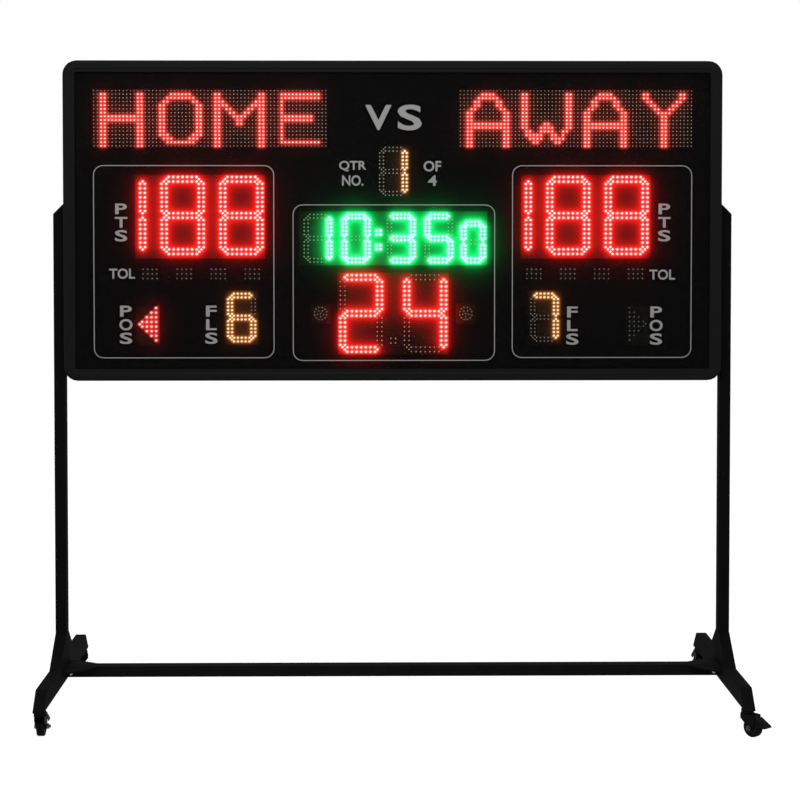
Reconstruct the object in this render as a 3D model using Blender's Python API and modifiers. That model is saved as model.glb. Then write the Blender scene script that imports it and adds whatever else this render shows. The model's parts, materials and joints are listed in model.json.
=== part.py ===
"""Basketball scoreboard on a wheeled stand, as separate parts. Metres, +Z up, front facing -Y."""

import math

import bmesh
import bpy
from mathutils import Matrix, Vector

MM = 0.001

# Clearances
FIT_GAP = 0.3 * MM
RUN_GAP = 0.3 * MM

# Board frame: an aluminium extrusion with rounded corner castings
BOARD_W = 1792 * MM
BOARD_H = 870 * MM
BOARD_D = 80 * MM
BOARD_BOTTOM_Z = 894 * MM
CORNER_R = 38 * MM
FACE_W = 32 * MM
FACE_T = 4 * MM
OUTER_STEP_W = 5.5 * MM
OUTER_STEP_H = 1.5 * MM
FACE_LAND_END = 20.5 * MM
LIP_STEP_H = 2.2 * MM
EDGE_R = 3 * MM
FRAME_WALL = 3 * MM
RIB_REACH = 16 * MM
RIB_T = 2 * MM
REAR_FLANGE_REACH = 18 * MM
REAR_FLANGE_T = 2 * MM
COVER_REBATE = 2.5 * MM

# Layers between the frame's flange and its rib, from the front
GLAZING_T = 3 * MM
CARRIER_T = 2 * MM
COVER_T = 1.5 * MM

# Display modules
MODULE_RIM = 4 * MM
MODULE_RECESS = 2.5 * MM
MODULE_BODY_T = 12 * MM
MODULE_BACK_RIM = 3 * MM
MODULE_BACK_POCKET = 4 * MM
BAR_RAISE = 1.5 * MM
BAR_BURY = 0.8 * MM
SEAM_W = 1.2 * MM
SEAM_D = 0.8 * MM
TIP_MARGIN = 0.35
SIDE_MARGIN = 0.27

# Lamp spacings and digit types: lamps along a bar, across and down, with their two pitches
LARGE_DIGIT = (7, 7, 12.6 * MM, 12.3 * MM)
SMALL_DIGIT = (5, 5, 10.5 * MM, 10.0 * MM)
TENTHS_DIGIT = (4, 4, 10.5 * MM, 10.0 * MM)
LAMP_PITCH = 12.6 * MM

# Windows: distances in from the board's side edge, or out from its middle, and down from its top edge
NAME_W = 640 * MM
NAME_H = 160 * MM
NAME_FROM_SIDE = 398 * MM
NAME_FROM_TOP = 156 * MM
SCORE_W = 354 * MM
SCORE_H = 228 * MM
SCORE_FROM_SIDE = 371 * MM
SCORE_FROM_TOP = 423 * MM
SCORE_DIGITS_RISE = 3 * MM
HUNDREDS_X = -156.5 * MM
TENS_X = -47.6 * MM
UNITS_X = 111.9 * MM
CLOCK_W = 513 * MM
CLOCK_H = 147 * MM
CLOCK_FROM_TOP = 482 * MM
CLOCK_DIGITS_X = (-205.6 * MM, -101.8 * MM, 21.4 * MM, 124.2 * MM)
CLOCK_COLON_X = -40.2 * MM
COLON_RISE = 20 * MM
COLON_DROP = 4 * MM
TENTHS_X = 217.8 * MM
TENTHS_DROP = 10 * MM
SHOT_W = 303 * MM
SHOT_H = 223 * MM
SHOT_FROM_TOP = 687 * MM
SHOT_DIGIT_X = 87.5 * MM
SHOT_POINT_DROP = 74.5 * MM
PERIOD_W = 88 * MM
PERIOD_H = 144 * MM
PERIOD_FROM_TOP = 300 * MM
FOUL_W = 92 * MM
FOUL_H = 147 * MM
FOUL_FROM_SIDE = 483 * MM
FOUL_FROM_TOP = 698 * MM
TIMEOUT_W = 52 * MM
TIMEOUT_H = 38 * MM
TIMEOUT_PITCH = 92.7 * MM
TIMEOUT_COUNT = 4
TIMEOUT_COLUMNS = 4
TIMEOUT_ROWS = 3
TIMEOUT_FROM_SIDE = 373 * MM
TIMEOUT_FROM_TOP = 579 * MM
ARROW_W = 72 * MM
ARROW_H = 112 * MM
ARROW_FROM_SIDE = 228 * MM
ARROW_FROM_TOP = 716 * MM
ARROW_ROWS = 8
DOT_WINDOW = 54 * MM
DOT_PAD_R = 21 * MM
DOT_FROM_MIDDLE = 198 * MM
DOT_FROM_TOP = 687 * MM

# Rear cover and what it carries
SLOT_W = 130 * MM
SLOT_H = 6 * MM
SLOT_PITCH = 18 * MM
SLOT_COUNT = 4
SLOT_GROUP_FROM_SIDE = 446 * MM
SLOT_GROUP_FROM_TOP = 150 * MM
HOOD_OUT = 6 * MM
HOOD_RISE = 6 * MM
HOOD_T = 1.4 * MM
HOOD_OVERHANG = 3 * MM
HORN_R = 48 * MM
HORN_DEPTH = 38 * MM
HORN_THROAT_R = 16 * MM
HORN_WALL = 2 * MM
HORN_FROM_SIDE = 446 * MM
HORN_FROM_BOTTOM = 130 * MM
HORN_HOLE_R = 3.5 * MM
HORN_RINGS = 2
HORN_RING_PITCH = 15 * MM
SUPPLY_W = 215 * MM
SUPPLY_H = 115 * MM
SUPPLY_T = 30 * MM
SUPPLY_FROM_SIDE = 566 * MM
SUPPLY_FROM_BOTTOM = 120 * MM
TERMINAL_W = 18 * MM
TERMINAL_T = 14 * MM
TERMINAL_COUNT = 7
CONTROL_W = 220 * MM
CONTROL_H = 130 * MM
CONTROL_T = 1.6 * MM
CONTROL_STANDOFF = 8 * MM
CONTROL_POST_R = 4 * MM
CONTROL_FROM_TOP = 300 * MM
INLET_FROM_SIDE = 276 * MM
INLET_FROM_BOTTOM = 90 * MM
INLET_FLANGE_W = 30 * MM
INLET_FLANGE_H = 58 * MM
INLET_FLANGE_T = 2.5 * MM
INLET_BODY_W = 27 * MM
INLET_BODY_H = 47 * MM
INLET_BODY_T = 24 * MM
SOCKET_W = 23 * MM
SOCKET_H = 16 * MM
SOCKET_CHAMFER = 4 * MM
SOCKET_DEPTH = 16 * MM
SOCKET_DROP = 11 * MM
SWITCH_W = 19 * MM
SWITCH_H = 13 * MM
SWITCH_RISE = 13 * MM
SWITCH_DEPTH = 11 * MM
ROCKER_R = 14 * MM
ROCKER_TILT = 8

# Stand tubes
UPRIGHT_W = 30 * MM
UPRIGHT_D = 40 * MM
TUBE_WALL = 2 * MM
TUBE_EDGE_R = 2 * MM
UPRIGHT_TOP_Z = 1378.5 * MM
LEG_BOTTOM_Z = 70 * MM
LEG_H = 50 * MM
LEG_REACH = 367 * MM
GUSSET_REACH = 100 * MM
GUSSET_H = 80 * MM
CROSSBAR_TOP_Z = 107 * MM
CROSSBAR_H = 30 * MM
CROSSBAR_D = 40 * MM
END_PLATE_T = 4 * MM
END_PLATE_DROP = 0.5 * MM
END_PLATE_FRONT = 85 * MM
END_PLATE_REAR = 56 * MM
END_PLATE_FLAT = 20 * MM
END_PLATE_REAR_RUN = 60 * MM
BRACKET_H = 80 * MM
BRACKET_T = 3 * MM
BRACKET_HEIGHTS_Z = (960 * MM, 1290 * MM)

# Casters: heights above the floor, and distances behind the swivel axis
CASTER_FROM_END = 32 * MM
WHEEL_R = 25 * MM
WHEEL_W = 20 * MM
HUB_PROUD = 0.5 * MM
TRAIL = 18 * MM
FORK_TOP_Z = 59 * MM
FORK_PLATE_T = 2.5 * MM
FORK_CHEEK_T = 2 * MM
FORK_SIDE_GAP = 1 * MM
CROWN_R = 17 * MM
CROWN_T = 3.3 * MM
AXLE_R = 4 * MM
AXLE_BOSS_R = 8.5 * MM
HEX_R = 7.5 * MM
NUT_T = 6 * MM
HEAD_T = 4 * MM
AXLE_END = 4.5 * MM
KINGPIN_R = 4 * MM
RIVET_R = 6.8 * MM
RIVET_T = 2.6 * MM
STEM_R = 5 * MM
STEM_RISE = 22 * MM
CUP_R = 16.5 * MM
PEDAL_PIVOT_X = 25.5 * MM
PEDAL_PIVOT_Z = 54.5 * MM
PEDAL_SLOPE = math.radians(30)
PEDAL_T = 2.2 * MM
PEDAL_REACH = 66 * MM
PEDAL_HALF_W = 14 * MM
PEDAL_WALL = 1.8 * MM
PEDAL_HEM_Z = 30.5 * MM
PEDAL_CAP_X = 35 * MM
PEDAL_BARREL_R = 3.2 * MM
PEDAL_PIN_R = 1.9 * MM
SHOE_HALF_W = 8 * MM
SHOE_LENGTH = 8 * MM
SHOE_GAP = 0.5 * MM
TREAD_RIB_COUNT = 3
TREAD_RIB_PITCH = 6 * MM

# Where each caster trails, in degrees about +Z from +X
CASTER_TRAILS = {
    "front_left": 90,
    "front_right": -50,
    "rear_left": 130,
    "rear_right": 90,
}

ARC_STEPS = 5
ROUND_STEPS = 20
SMALL_ROUND_STEPS = 10
PUNCH_STEPS = 8
WELD = 1e-6

# Places that follow from the sizes above
HALF_W = BOARD_W / 2
HALF_D = BOARD_D / 2
BOARD_TOP_Z = BOARD_BOTTOM_Z + BOARD_H
BOARD_MIDDLE_Z = BOARD_BOTTOM_Z + BOARD_H / 2
FRONT_Y = -HALF_D
FLANGE_REAR_Y = FRONT_Y + FACE_T
GLAZING_FRONT_Y = FLANGE_REAR_Y + FIT_GAP
CARRIER_FRONT_Y = GLAZING_FRONT_Y + GLAZING_T + FIT_GAP
CARRIER_REAR_Y = CARRIER_FRONT_Y + CARRIER_T
RIB_FRONT_Y = CARRIER_REAR_Y + FIT_GAP
MODULE_FRONT_Y = CARRIER_REAR_Y + FIT_GAP
MODULE_FACE_Y = MODULE_FRONT_Y + MODULE_RECESS
MODULE_REAR_Y = MODULE_FACE_Y + MODULE_BODY_T
REAR_FLANGE_Y = HALF_D - COVER_REBATE
COVER_INNER_Y = REAR_FLANGE_Y + FIT_GAP
COVER_OUTER_Y = COVER_INNER_Y + COVER_T
CARRIED_REAR_Y = COVER_INNER_Y - FIT_GAP
PANEL_INSET = FRAME_WALL + FIT_GAP
HORN_X = HORN_FROM_SIDE - HALF_W
SUPPLY_X = HALF_W - SUPPLY_FROM_SIDE
INLET_X = HALF_W - INLET_FROM_SIDE
UPRIGHT_INNER_X = HALF_W + FIT_GAP
UPRIGHT_X = UPRIGHT_INNER_X + UPRIGHT_W / 2
UPRIGHT_OUTER_X = UPRIGHT_INNER_X + UPRIGHT_W
LEG_TOP_Z = LEG_BOTTOM_Z + LEG_H
CASTER_Y = LEG_REACH - CASTER_FROM_END
FORK_INNER = WHEEL_W / 2 + HUB_PROUD + FORK_SIDE_GAP
FORK_OUTER = FORK_INNER + FORK_CHEEK_T


def make_material(name, color, roughness, metallic=0.0, alpha=1.0):
    """A Principled material of one plain finish."""
    material = bpy.data.materials.new(name)
    material.use_nodes = True
    shader = material.node_tree.nodes["Principled BSDF"]
    shader.inputs["Base Color"].default_value = (*color, 1.0)
    shader.inputs["Roughness"].default_value = roughness
    shader.inputs["Metallic"].default_value = metallic
    shader.inputs["Alpha"].default_value = alpha
    return material


def arc(centre, radius, start, end, steps=ARC_STEPS):
    """Points on an arc, with its angles in degrees."""
    points = []
    for step in range(steps + 1):
        angle = math.radians(start + (end - start) * step / steps)
        points.append((centre[0] + radius * math.cos(angle), centre[1] + radius * math.sin(angle)))
    return points


def ring_of(centre, radius, steps):
    """Points round a full circle, with the first not repeated."""
    return arc(centre, radius, 0, 360, steps)[:-1]


def rectangle(centre, width, height):
    """The four corners of a rectangle."""
    x, y = centre
    half_w, half_h = width / 2, height / 2
    return [(x - half_w, y - half_h), (x + half_w, y - half_h), (x + half_w, y + half_h), (x - half_w, y + half_h)]


def rounded_rectangle(centre, width, height, radius):
    """A rectangle with round corners."""
    x, y = width / 2 - radius, height / 2 - radius
    points = []
    for sign_x, sign_y, start in ((1, 1, 0), (-1, 1, 90), (-1, -1, 180), (1, -1, 270)):
        middle = (centre[0] + sign_x * x, centre[1] + sign_y * y)
        points += arc(middle, radius, start, start + 90)
    return points


def finish_mesh(bm, name, smooth_angle=None):
    """Turn a bmesh into mesh data with its faces outward, and shade what is round."""
    bmesh.ops.recalc_face_normals(bm, faces=bm.faces)
    mesh = bpy.data.meshes.new(name)
    bm.to_mesh(mesh)
    bm.free()
    if smooth_angle:
        mesh.shade_smooth()
        mesh.set_sharp_from_angle(angle=math.radians(smooth_angle))
    return mesh


class Workshop:
    """Keeps the collections, and makes the objects that go into them."""

    def __init__(self):
        self.parts = self.collection("basketball_scoreboard")
        self.tools = self.collection("cutters")

    @staticmethod
    def collection(name):
        home = bpy.data.collections.new(name)
        bpy.context.scene.collection.children.link(home)
        return home

    def place(self, name, mesh, material=None, matrix=None, parent=None, tool=False):
        """Put mesh data into the scene as a part, or as a hidden tool."""
        obj = bpy.data.objects.new(name, mesh)
        (self.tools if tool else self.parts).objects.link(obj)
        if parent:
            obj.parent = parent
        if matrix is not None:
            obj.matrix_local = matrix
        if tool:
            obj.hide_render = True
            obj.display_type = "WIRE"
        elif material and not mesh.materials:
            mesh.materials.append(material)
        return obj

    def empty(self, name, matrix):
        """A marker that carries the pieces of one assembly."""
        marker = bpy.data.objects.new(name, None)
        self.parts.objects.link(marker)
        marker.matrix_world = matrix
        bpy.context.view_layer.update()
        return marker

    def slab(self, name, outlines, thickness):
        """Mesh data of flat outlines, the inner ones holes, as thick as asked about their own plane."""
        curve = bpy.data.curves.new(name, "CURVE")
        curve.dimensions = "2D"
        curve.fill_mode = "BOTH"
        curve.extrude = thickness / 2
        for outline in outlines:
            spline = curve.splines.new("POLY")
            spline.points.add(len(outline) - 1)
            for point, (x, y) in zip(spline.points, outline):
                point.co = (x, y, 0, 1)
            spline.use_cyclic_u = True
        return self.baked(bpy.data.objects.new(name, curve), weld=True)

    def baked(self, obj, weld=False):
        """Mesh data of an object with its modifiers done, and the object removed."""
        if obj.name not in bpy.context.scene.objects:
            self.tools.objects.link(obj)
        bpy.context.view_layer.update()
        graph = bpy.context.evaluated_depsgraph_get()
        mesh = bpy.data.meshes.new_from_object(obj.evaluated_get(graph))
        mesh.name = obj.name
        bpy.data.objects.remove(obj, do_unlink=True)
        if weld:
            bm = bmesh.new()
            bm.from_mesh(mesh)
            bmesh.ops.remove_doubles(bm, verts=bm.verts, dist=WELD)
            bmesh.ops.recalc_face_normals(bm, faces=bm.faces)
            bm.to_mesh(mesh)
            bm.free()
        return mesh

    def combine(self, target, other, operation):
        """Add a Boolean that cuts a tool from a part, or joins it on."""
        modifier = target.modifiers.new(f"{operation} {other.name}", "BOOLEAN")
        modifier.operation = operation
        modifier.object = other
        return target

    def cut(self, target, other):
        return self.combine(target, other, "DIFFERENCE")

    def join(self, target, other):
        return self.combine(target, other, "UNION")


def box_mesh(name, low, high, bevel=0.0, segments=2):
    """A box between two corners, with all its edges rounded if a bevel is given."""
    low, high = Vector(low), Vector(high)
    bm = bmesh.new()
    scale = Matrix.Diagonal((*(high - low), 1))
    bmesh.ops.create_cube(bm, size=1, matrix=Matrix.Translation((low + high) / 2) @ scale)
    if bevel:
        bmesh.ops.bevel(
            bm, geom=bm.edges[:], offset=bevel, segments=segments, profile=0.5, affect="EDGES", material=-1
        )
    return finish_mesh(bm, name)


def rod_mesh(name, radius, low, high, steps=ROUND_STEPS, axis="Z", at=(0, 0)):
    """A cylinder, or a prism of few steps, along one axis from low to high."""
    bm = bmesh.new()
    bmesh.ops.create_cone(
        bm, cap_ends=True, segments=steps, radius1=radius, radius2=radius, depth=high - low
    )
    middle = (low + high) / 2
    if axis == "Y":
        turn = Matrix.Rotation(math.radians(90), 4, "X")
        place = Matrix.Translation((at[0], middle, at[1])) @ turn
    else:
        place = Matrix.Translation((at[0], at[1], middle))
    bmesh.ops.transform(bm, matrix=place, verts=bm.verts)
    return finish_mesh(bm, name, 40)


def bore_mesh(name, radius, low, high, axis="Z", at=(0, 0)):
    """A tool for a round hole, wide enough that its flats clear the radius asked for."""
    steps = SMALL_ROUND_STEPS
    return rod_mesh(name, radius / math.cos(math.pi / steps), low, high, steps, axis, at)


def upright_plane(y=0.0):
    """Stands a slab's outline up in X and Z, with its thickness along Y about the given depth."""
    return Matrix.Translation((0, y, 0)) @ Matrix.Rotation(math.radians(90), 4, "X")


def side_plane(x=0.0):
    """Stands a slab's outline up in Y and Z, with its thickness along X about the given place."""
    turn = Matrix(((0, 0, 1, 0), (1, 0, 0, 0), (0, 1, 0, 0), (0, 0, 0, 1)))
    return Matrix.Translation((x, 0, 0)) @ turn


def turned(shop, name, profile, closed, steps=ROUND_STEPS):
    """Mesh data of a profile of radius and height, turned round Z; a closed one has a bore."""
    mesh = bpy.data.meshes.new(name)
    edges = [(i, i + 1) for i in range(len(profile) - 1)]
    if closed:
        edges.append((len(profile) - 1, 0))
    mesh.from_pydata([(r, 0, z) for r, z in profile], edges, [])
    obj = bpy.data.objects.new(name, mesh)
    screw = obj.modifiers.new("turn", "SCREW")
    screw.axis = "Z"
    screw.steps = steps
    screw.render_steps = steps
    screw.use_merge_vertices = True
    screw.merge_threshold = WELD
    screw.use_normal_calculate = True
    done = shop.baked(obj, weld=True)
    done.shade_smooth()
    done.set_sharp_from_angle(angle=math.radians(35))
    return done


def frame_profile():
    """The extrusion's section: distance in from the board's edge, and depth."""
    outer_y = FRONT_Y + OUTER_STEP_H
    lip_y = FRONT_Y + LIP_STEP_H
    step = 1 * MM
    rib_rear_y = RIB_FRONT_Y + RIB_T
    flange_front_y = REAR_FLANGE_Y - REAR_FLANGE_T
    points = arc((EDGE_R, outer_y + EDGE_R), EDGE_R, 180, 270, 3)
    points += [
        (OUTER_STEP_W, outer_y),
        (OUTER_STEP_W + step, FRONT_Y),
        (FACE_LAND_END, FRONT_Y),
        (FACE_LAND_END + LIP_STEP_H, lip_y),
        (FACE_W - step, lip_y),
        (FACE_W, lip_y + step / 2),
        (FACE_W, FLANGE_REAR_Y),
        (FRAME_WALL, FLANGE_REAR_Y),
        (FRAME_WALL, RIB_FRONT_Y),
        (RIB_REACH, RIB_FRONT_Y),
        (RIB_REACH, rib_rear_y),
        (FRAME_WALL, rib_rear_y),
        (FRAME_WALL, flange_front_y),
        (REAR_FLANGE_REACH, flange_front_y),
        (REAR_FLANGE_REACH, REAR_FLANGE_Y),
        (FRAME_WALL, REAR_FLANGE_Y),
        (FRAME_WALL, HALF_D),
        (0, HALF_D),
    ]
    return points


def make_rails(shop, material):
    """Four straight lengths of the extrusion, cut back to the corner castings."""
    profile = frame_profile()
    rails = (
        ("frame_top_rail", (0, BOARD_TOP_Z), (0, -1), BOARD_W),
        ("frame_bottom_rail", (0, BOARD_BOTTOM_Z), (0, 1), BOARD_W),
        ("frame_left_rail", (-HALF_W, BOARD_MIDDLE_Z), (1, 0), BOARD_H),
        ("frame_right_rail", (HALF_W, BOARD_MIDDLE_Z), (-1, 0), BOARD_H),
    )
    for name, edge, inward, span in rails:
        mesh = shop.slab(name, [profile], span - 2 * (CORNER_R + FIT_GAP))
        across = Vector((inward[0], 0, inward[1]))
        depth = Vector((0, 1, 0))
        along = across.cross(depth)
        turn = Matrix((across, depth, along)).transposed().to_4x4()
        place = Matrix.Translation((edge[0], 0, edge[1])) @ turn
        shop.place(name, mesh, material, place)


def make_corners(shop, material):
    """The same section swept through a quarter turn, four times."""
    bm = bmesh.new()
    points = [bm.verts.new((inset - CORNER_R, y, 0)) for inset, y in frame_profile()]
    edges = [bm.edges.new((a, b)) for a, b in zip(points, points[1:] + points[:1])]
    bmesh.ops.spin(
        bm, geom=points + edges, cent=(0, 0, 0), axis=(0, 1, 0), angle=math.radians(90), steps=ARC_STEPS
    )
    bmesh.ops.holes_fill(bm, edges=[edge for edge in bm.edges if edge.is_boundary], sides=0)
    mesh = finish_mesh(bm, "frame_corner", 30)
    x = HALF_W - CORNER_R
    high, low = BOARD_TOP_Z - CORNER_R, BOARD_BOTTOM_Z + CORNER_R
    corners = (
        ("frame_corner_top_left", -x, high),
        ("frame_corner_top_right", x, high),
        ("frame_corner_bottom_right", x, low),
        ("frame_corner_bottom_left", -x, low),
    )
    for quarter, (name, corner_x, corner_z) in enumerate(corners):
        turn = Matrix.Rotation(math.radians(90 * quarter), 4, "Y")
        shop.place(name, mesh, material, Matrix.Translation((corner_x, 0, corner_z)) @ turn)


def panel_outline():
    """The outline shared by the glazing, the carrier plate and the rear cover."""
    width, height = BOARD_W - 2 * PANEL_INSET, BOARD_H - 2 * PANEL_INSET
    return rounded_rectangle((0, BOARD_MIDDLE_Z), width, height, CORNER_R - PANEL_INSET)


def light_bar(centre, half_length, half_width, upright):
    """A six-sided bar with its ends cut to points."""
    run = half_length - half_width
    corners = [
        (-half_length, 0),
        (-run, -half_width),
        (run, -half_width),
        (half_length, 0),
        (run, half_width),
        (-run, half_width),
    ]
    if upright:
        corners = [(-y, x) for x, y in corners]
    return [(centre[0] + x, centre[1] + y) for x, y in corners]


def digit_bars(centre, kind, bars="abcdefg"):
    """The bars of one seven-bar digit, sized by the lamps that stand on them."""
    across, down, pitch_x, pitch_z = kind
    level = (across / 2 + TIP_MARGIN) * pitch_x
    tall = (down / 2 + TIP_MARGIN) * pitch_z
    half_x = (0.5 + SIDE_MARGIN) * pitch_x
    half_z = (0.5 + SIDE_MARGIN) * pitch_z
    side = (across + 1) / 2 * pitch_x
    storey = (down + 1) * pitch_z
    places = {
        "a": ((0, storey), level, half_z, False),
        "b": ((side, storey / 2), tall, half_x, True),
        "c": ((side, -storey / 2), tall, half_x, True),
        "d": ((0, -storey), level, half_z, False),
        "e": ((-side, -storey / 2), tall, half_x, True),
        "f": ((-side, storey / 2), tall, half_x, True),
        "g": ((0, 0), level, half_z, False),
    }
    outlines = []
    for letter in bars:
        (x, z), half_length, half_width, upright = places[letter]
        outlines.append(light_bar((centre[0] + x, centre[1] + z), half_length, half_width, upright))
    return outlines


def lamp_pad(centre, columns, rows, pitch_x, pitch_z):
    """A plain pad under a block of lamps."""
    width = (columns - 1 + 1 / 2 + SIDE_MARGIN) * pitch_x
    height = (rows - 1 + 1 / 2 + SIDE_MARGIN) * pitch_z
    return rectangle(centre, width, height)


def score_bars(centre):
    x, z = centre
    side = (LARGE_DIGIT[0] + 1) / 2 * LARGE_DIGIT[2]
    outlines = digit_bars((x + HUNDREDS_X - side, z), LARGE_DIGIT, "bc")
    outlines += digit_bars((x + TENS_X, z), LARGE_DIGIT)
    outlines += digit_bars((x + UNITS_X, z), LARGE_DIGIT)
    return outlines


def clock_bars(centre):
    x, z = centre
    outlines = []
    for digit_x in CLOCK_DIGITS_X:
        outlines += digit_bars((x + digit_x, z), SMALL_DIGIT)
    outlines += digit_bars((x + TENTHS_X, z - TENTHS_DROP), TENTHS_DIGIT)
    for rise in (COLON_RISE, -COLON_RISE):
        pad_at = (x + CLOCK_COLON_X, z - COLON_DROP + rise)
        pad = lamp_pad(pad_at, 2, 2, SMALL_DIGIT[2], SMALL_DIGIT[3])
        outlines.append(pad)
    return outlines


def shot_bars(centre):
    x, z = centre
    outlines = []
    for digit_x in (-SHOT_DIGIT_X, SHOT_DIGIT_X):
        outlines += digit_bars((x + digit_x, z), LARGE_DIGIT)
    outlines.append(lamp_pad((x, z - SHOT_POINT_DROP), 2, 2, LAMP_PITCH, LAMP_PITCH))
    return outlines


def arrow_pad(centre, points_left):
    """A triangle that points outward, under the possession lamps."""
    sign = -1 if points_left else 1
    half_h = (ARROW_ROWS + 1) / 2 * LAMP_PITCH
    reach = half_h / 2 + LAMP_PITCH / 4
    x, z = centre
    tip, base = x + sign * reach, x - sign * reach
    outline = [(tip, z), (base, z + half_h), (base, z - half_h)]
    return outline if points_left else outline[::-1]


def timeout_windows(centre):
    """The centres of the time-out blocks in one strip."""
    first = -(TIMEOUT_COUNT - 1) / 2
    return [(centre[0] + (first + block) * TIMEOUT_PITCH, centre[1]) for block in range(TIMEOUT_COUNT)]


def display_list():
    """Every display: its name, its tray's centre and size, its windows, and its raised bars."""
    displays = []

    def add(name, centre, size, bars, windows=None):
        displays.append((name, centre, size, windows or [(centre, size)], bars))

    for side, sign in (("left", -1), ("right", 1)):
        name_at = (sign * (HALF_W - NAME_FROM_SIDE), BOARD_TOP_Z - NAME_FROM_TOP)
        add(f"{side}_name_display", name_at, (NAME_W, NAME_H), [])
        score_at = (sign * (HALF_W - SCORE_FROM_SIDE), BOARD_TOP_Z - SCORE_FROM_TOP)
        digits_at = (score_at[0], score_at[1] + SCORE_DIGITS_RISE)
        add(f"{side}_score_display", score_at, (SCORE_W, SCORE_H), score_bars(digits_at))
        foul_at = (sign * (HALF_W - FOUL_FROM_SIDE), BOARD_TOP_Z - FOUL_FROM_TOP)
        add(f"{side}_foul_display", foul_at, (FOUL_W, FOUL_H), digit_bars(foul_at, SMALL_DIGIT))
        timeout_at = (sign * (HALF_W - TIMEOUT_FROM_SIDE), BOARD_TOP_Z - TIMEOUT_FROM_TOP)
        blocks = timeout_windows(timeout_at)
        strip = (TIMEOUT_PITCH * (TIMEOUT_COUNT - 1) + TIMEOUT_W, TIMEOUT_H)
        pads = [lamp_pad(at, TIMEOUT_COLUMNS, TIMEOUT_ROWS, LAMP_PITCH, LAMP_PITCH) for at in blocks]
        windows = [(at, (TIMEOUT_W, TIMEOUT_H)) for at in blocks]
        add(f"{side}_timeout_display", timeout_at, strip, pads, windows)
        arrow_at = (sign * (HALF_W - ARROW_FROM_SIDE), BOARD_TOP_Z - ARROW_FROM_TOP)
        pad = arrow_pad(arrow_at, points_left=sign < 0)
        add(f"{side}_possession_display", arrow_at, (ARROW_W, ARROW_H), [pad])
        dot_at = (sign * DOT_FROM_MIDDLE, BOARD_TOP_Z - DOT_FROM_TOP)
        pad = ring_of(dot_at, DOT_PAD_R, ROUND_STEPS)
        add(f"{side}_signal_display", dot_at, (DOT_WINDOW, DOT_WINDOW), [pad])
    clock_at = (0, BOARD_TOP_Z - CLOCK_FROM_TOP)
    add("game_clock_display", clock_at, (CLOCK_W, CLOCK_H), clock_bars(clock_at))
    shot_at = (0, BOARD_TOP_Z - SHOT_FROM_TOP)
    add("shot_clock_display", shot_at, (SHOT_W, SHOT_H), shot_bars(shot_at))
    period_at = (0, BOARD_TOP_Z - PERIOD_FROM_TOP)
    add("period_display", period_at, (PERIOD_W, PERIOD_H), digit_bars(period_at, SMALL_DIGIT))
    return displays


def tray_mesh(name, centre, size):
    """A module's housing: a rim round a sunk lamp board, and a shallow pocket at the back."""
    half_w = size[0] / 2 + MODULE_RIM
    half_h = size[1] / 2 + MODULE_RIM
    low = Vector((centre[0] - half_w, MODULE_FRONT_Y, centre[1] - half_h))
    high = Vector((centre[0] + half_w, MODULE_REAR_Y, centre[1] + half_h))
    bm = bmesh.new()
    place = Matrix.Translation((low + high) / 2) @ Matrix.Diagonal((*(high - low), 1))
    bmesh.ops.create_cube(bm, size=1, matrix=place)
    bm.normal_update()
    front = [face for face in bm.faces if face.normal.y < -0.5]
    rear = [face for face in bm.faces if face.normal.y > 0.5]
    bmesh.ops.inset_region(bm, faces=front, thickness=MODULE_RIM, depth=-MODULE_RECESS)
    bmesh.ops.inset_region(bm, faces=rear, thickness=MODULE_BACK_RIM, depth=-MODULE_BACK_POCKET)
    return finish_mesh(bm, name)


def make_displays(shop, displays, material):
    """One housing for each display, with its light bars raised from the lamp board."""
    bar_depth = BAR_RAISE + BAR_BURY
    for name, centre, size, _, bars in displays:
        tray = shop.place(name, tray_mesh(name, centre, size), material)
        if bars:
            mesh = shop.slab(f"{name}_bars", bars, bar_depth)
            y = MODULE_FACE_Y - BAR_RAISE + bar_depth / 2
            shop.join(tray, shop.place(f"{name}_bars", mesh, matrix=upright_plane(y), tool=True))
        else:
            low = (centre[0] - SEAM_W / 2, MODULE_FACE_Y - SEAM_D, centre[1] - size[1])
            high = (centre[0] + SEAM_W / 2, MODULE_FACE_Y + SEAM_D, centre[1] + size[1])
            seam = shop.place(f"{name}_seam", box_mesh(f"{name}_seam", low, high), tool=True)
            shop.cut(tray, seam)


def make_panels(shop, displays, glass, black):
    """The smoked sheet over the whole front, and the black plate whose windows show the displays."""
    outline = panel_outline()
    glazing = shop.slab("front_glazing", [outline], GLAZING_T)
    shop.place("front_glazing", glazing, glass, upright_plane(GLAZING_FRONT_Y + GLAZING_T / 2))
    windows = [rectangle(at, *size) for _, _, _, openings, _ in displays for at, size in openings]
    carrier = shop.slab("carrier_plate", [outline] + windows, CARRIER_T)
    shop.place("carrier_plate", carrier, black, upright_plane(CARRIER_FRONT_Y + CARRIER_T / 2))


def slot_centres():
    """The vent slots, in a group at each side near the top."""
    first = BOARD_TOP_Z - SLOT_GROUP_FROM_TOP
    for side in (-1, 1):
        for row in range(SLOT_COUNT):
            yield side * (HALF_W - SLOT_GROUP_FROM_SIDE), first - row * SLOT_PITCH


def horn_holes():
    """The sound holes, one in the middle and a ring of six more for each step out."""
    centre = (HORN_X, BOARD_BOTTOM_Z + HORN_FROM_BOTTOM)
    yield centre
    for ring in range(1, HORN_RINGS + 1):
        count = 6 * ring
        yield from ring_of(centre, ring * HORN_RING_PITCH, count)


def inlet_centre():
    return INLET_X, BOARD_BOTTOM_Z + INLET_FROM_BOTTOM


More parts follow.
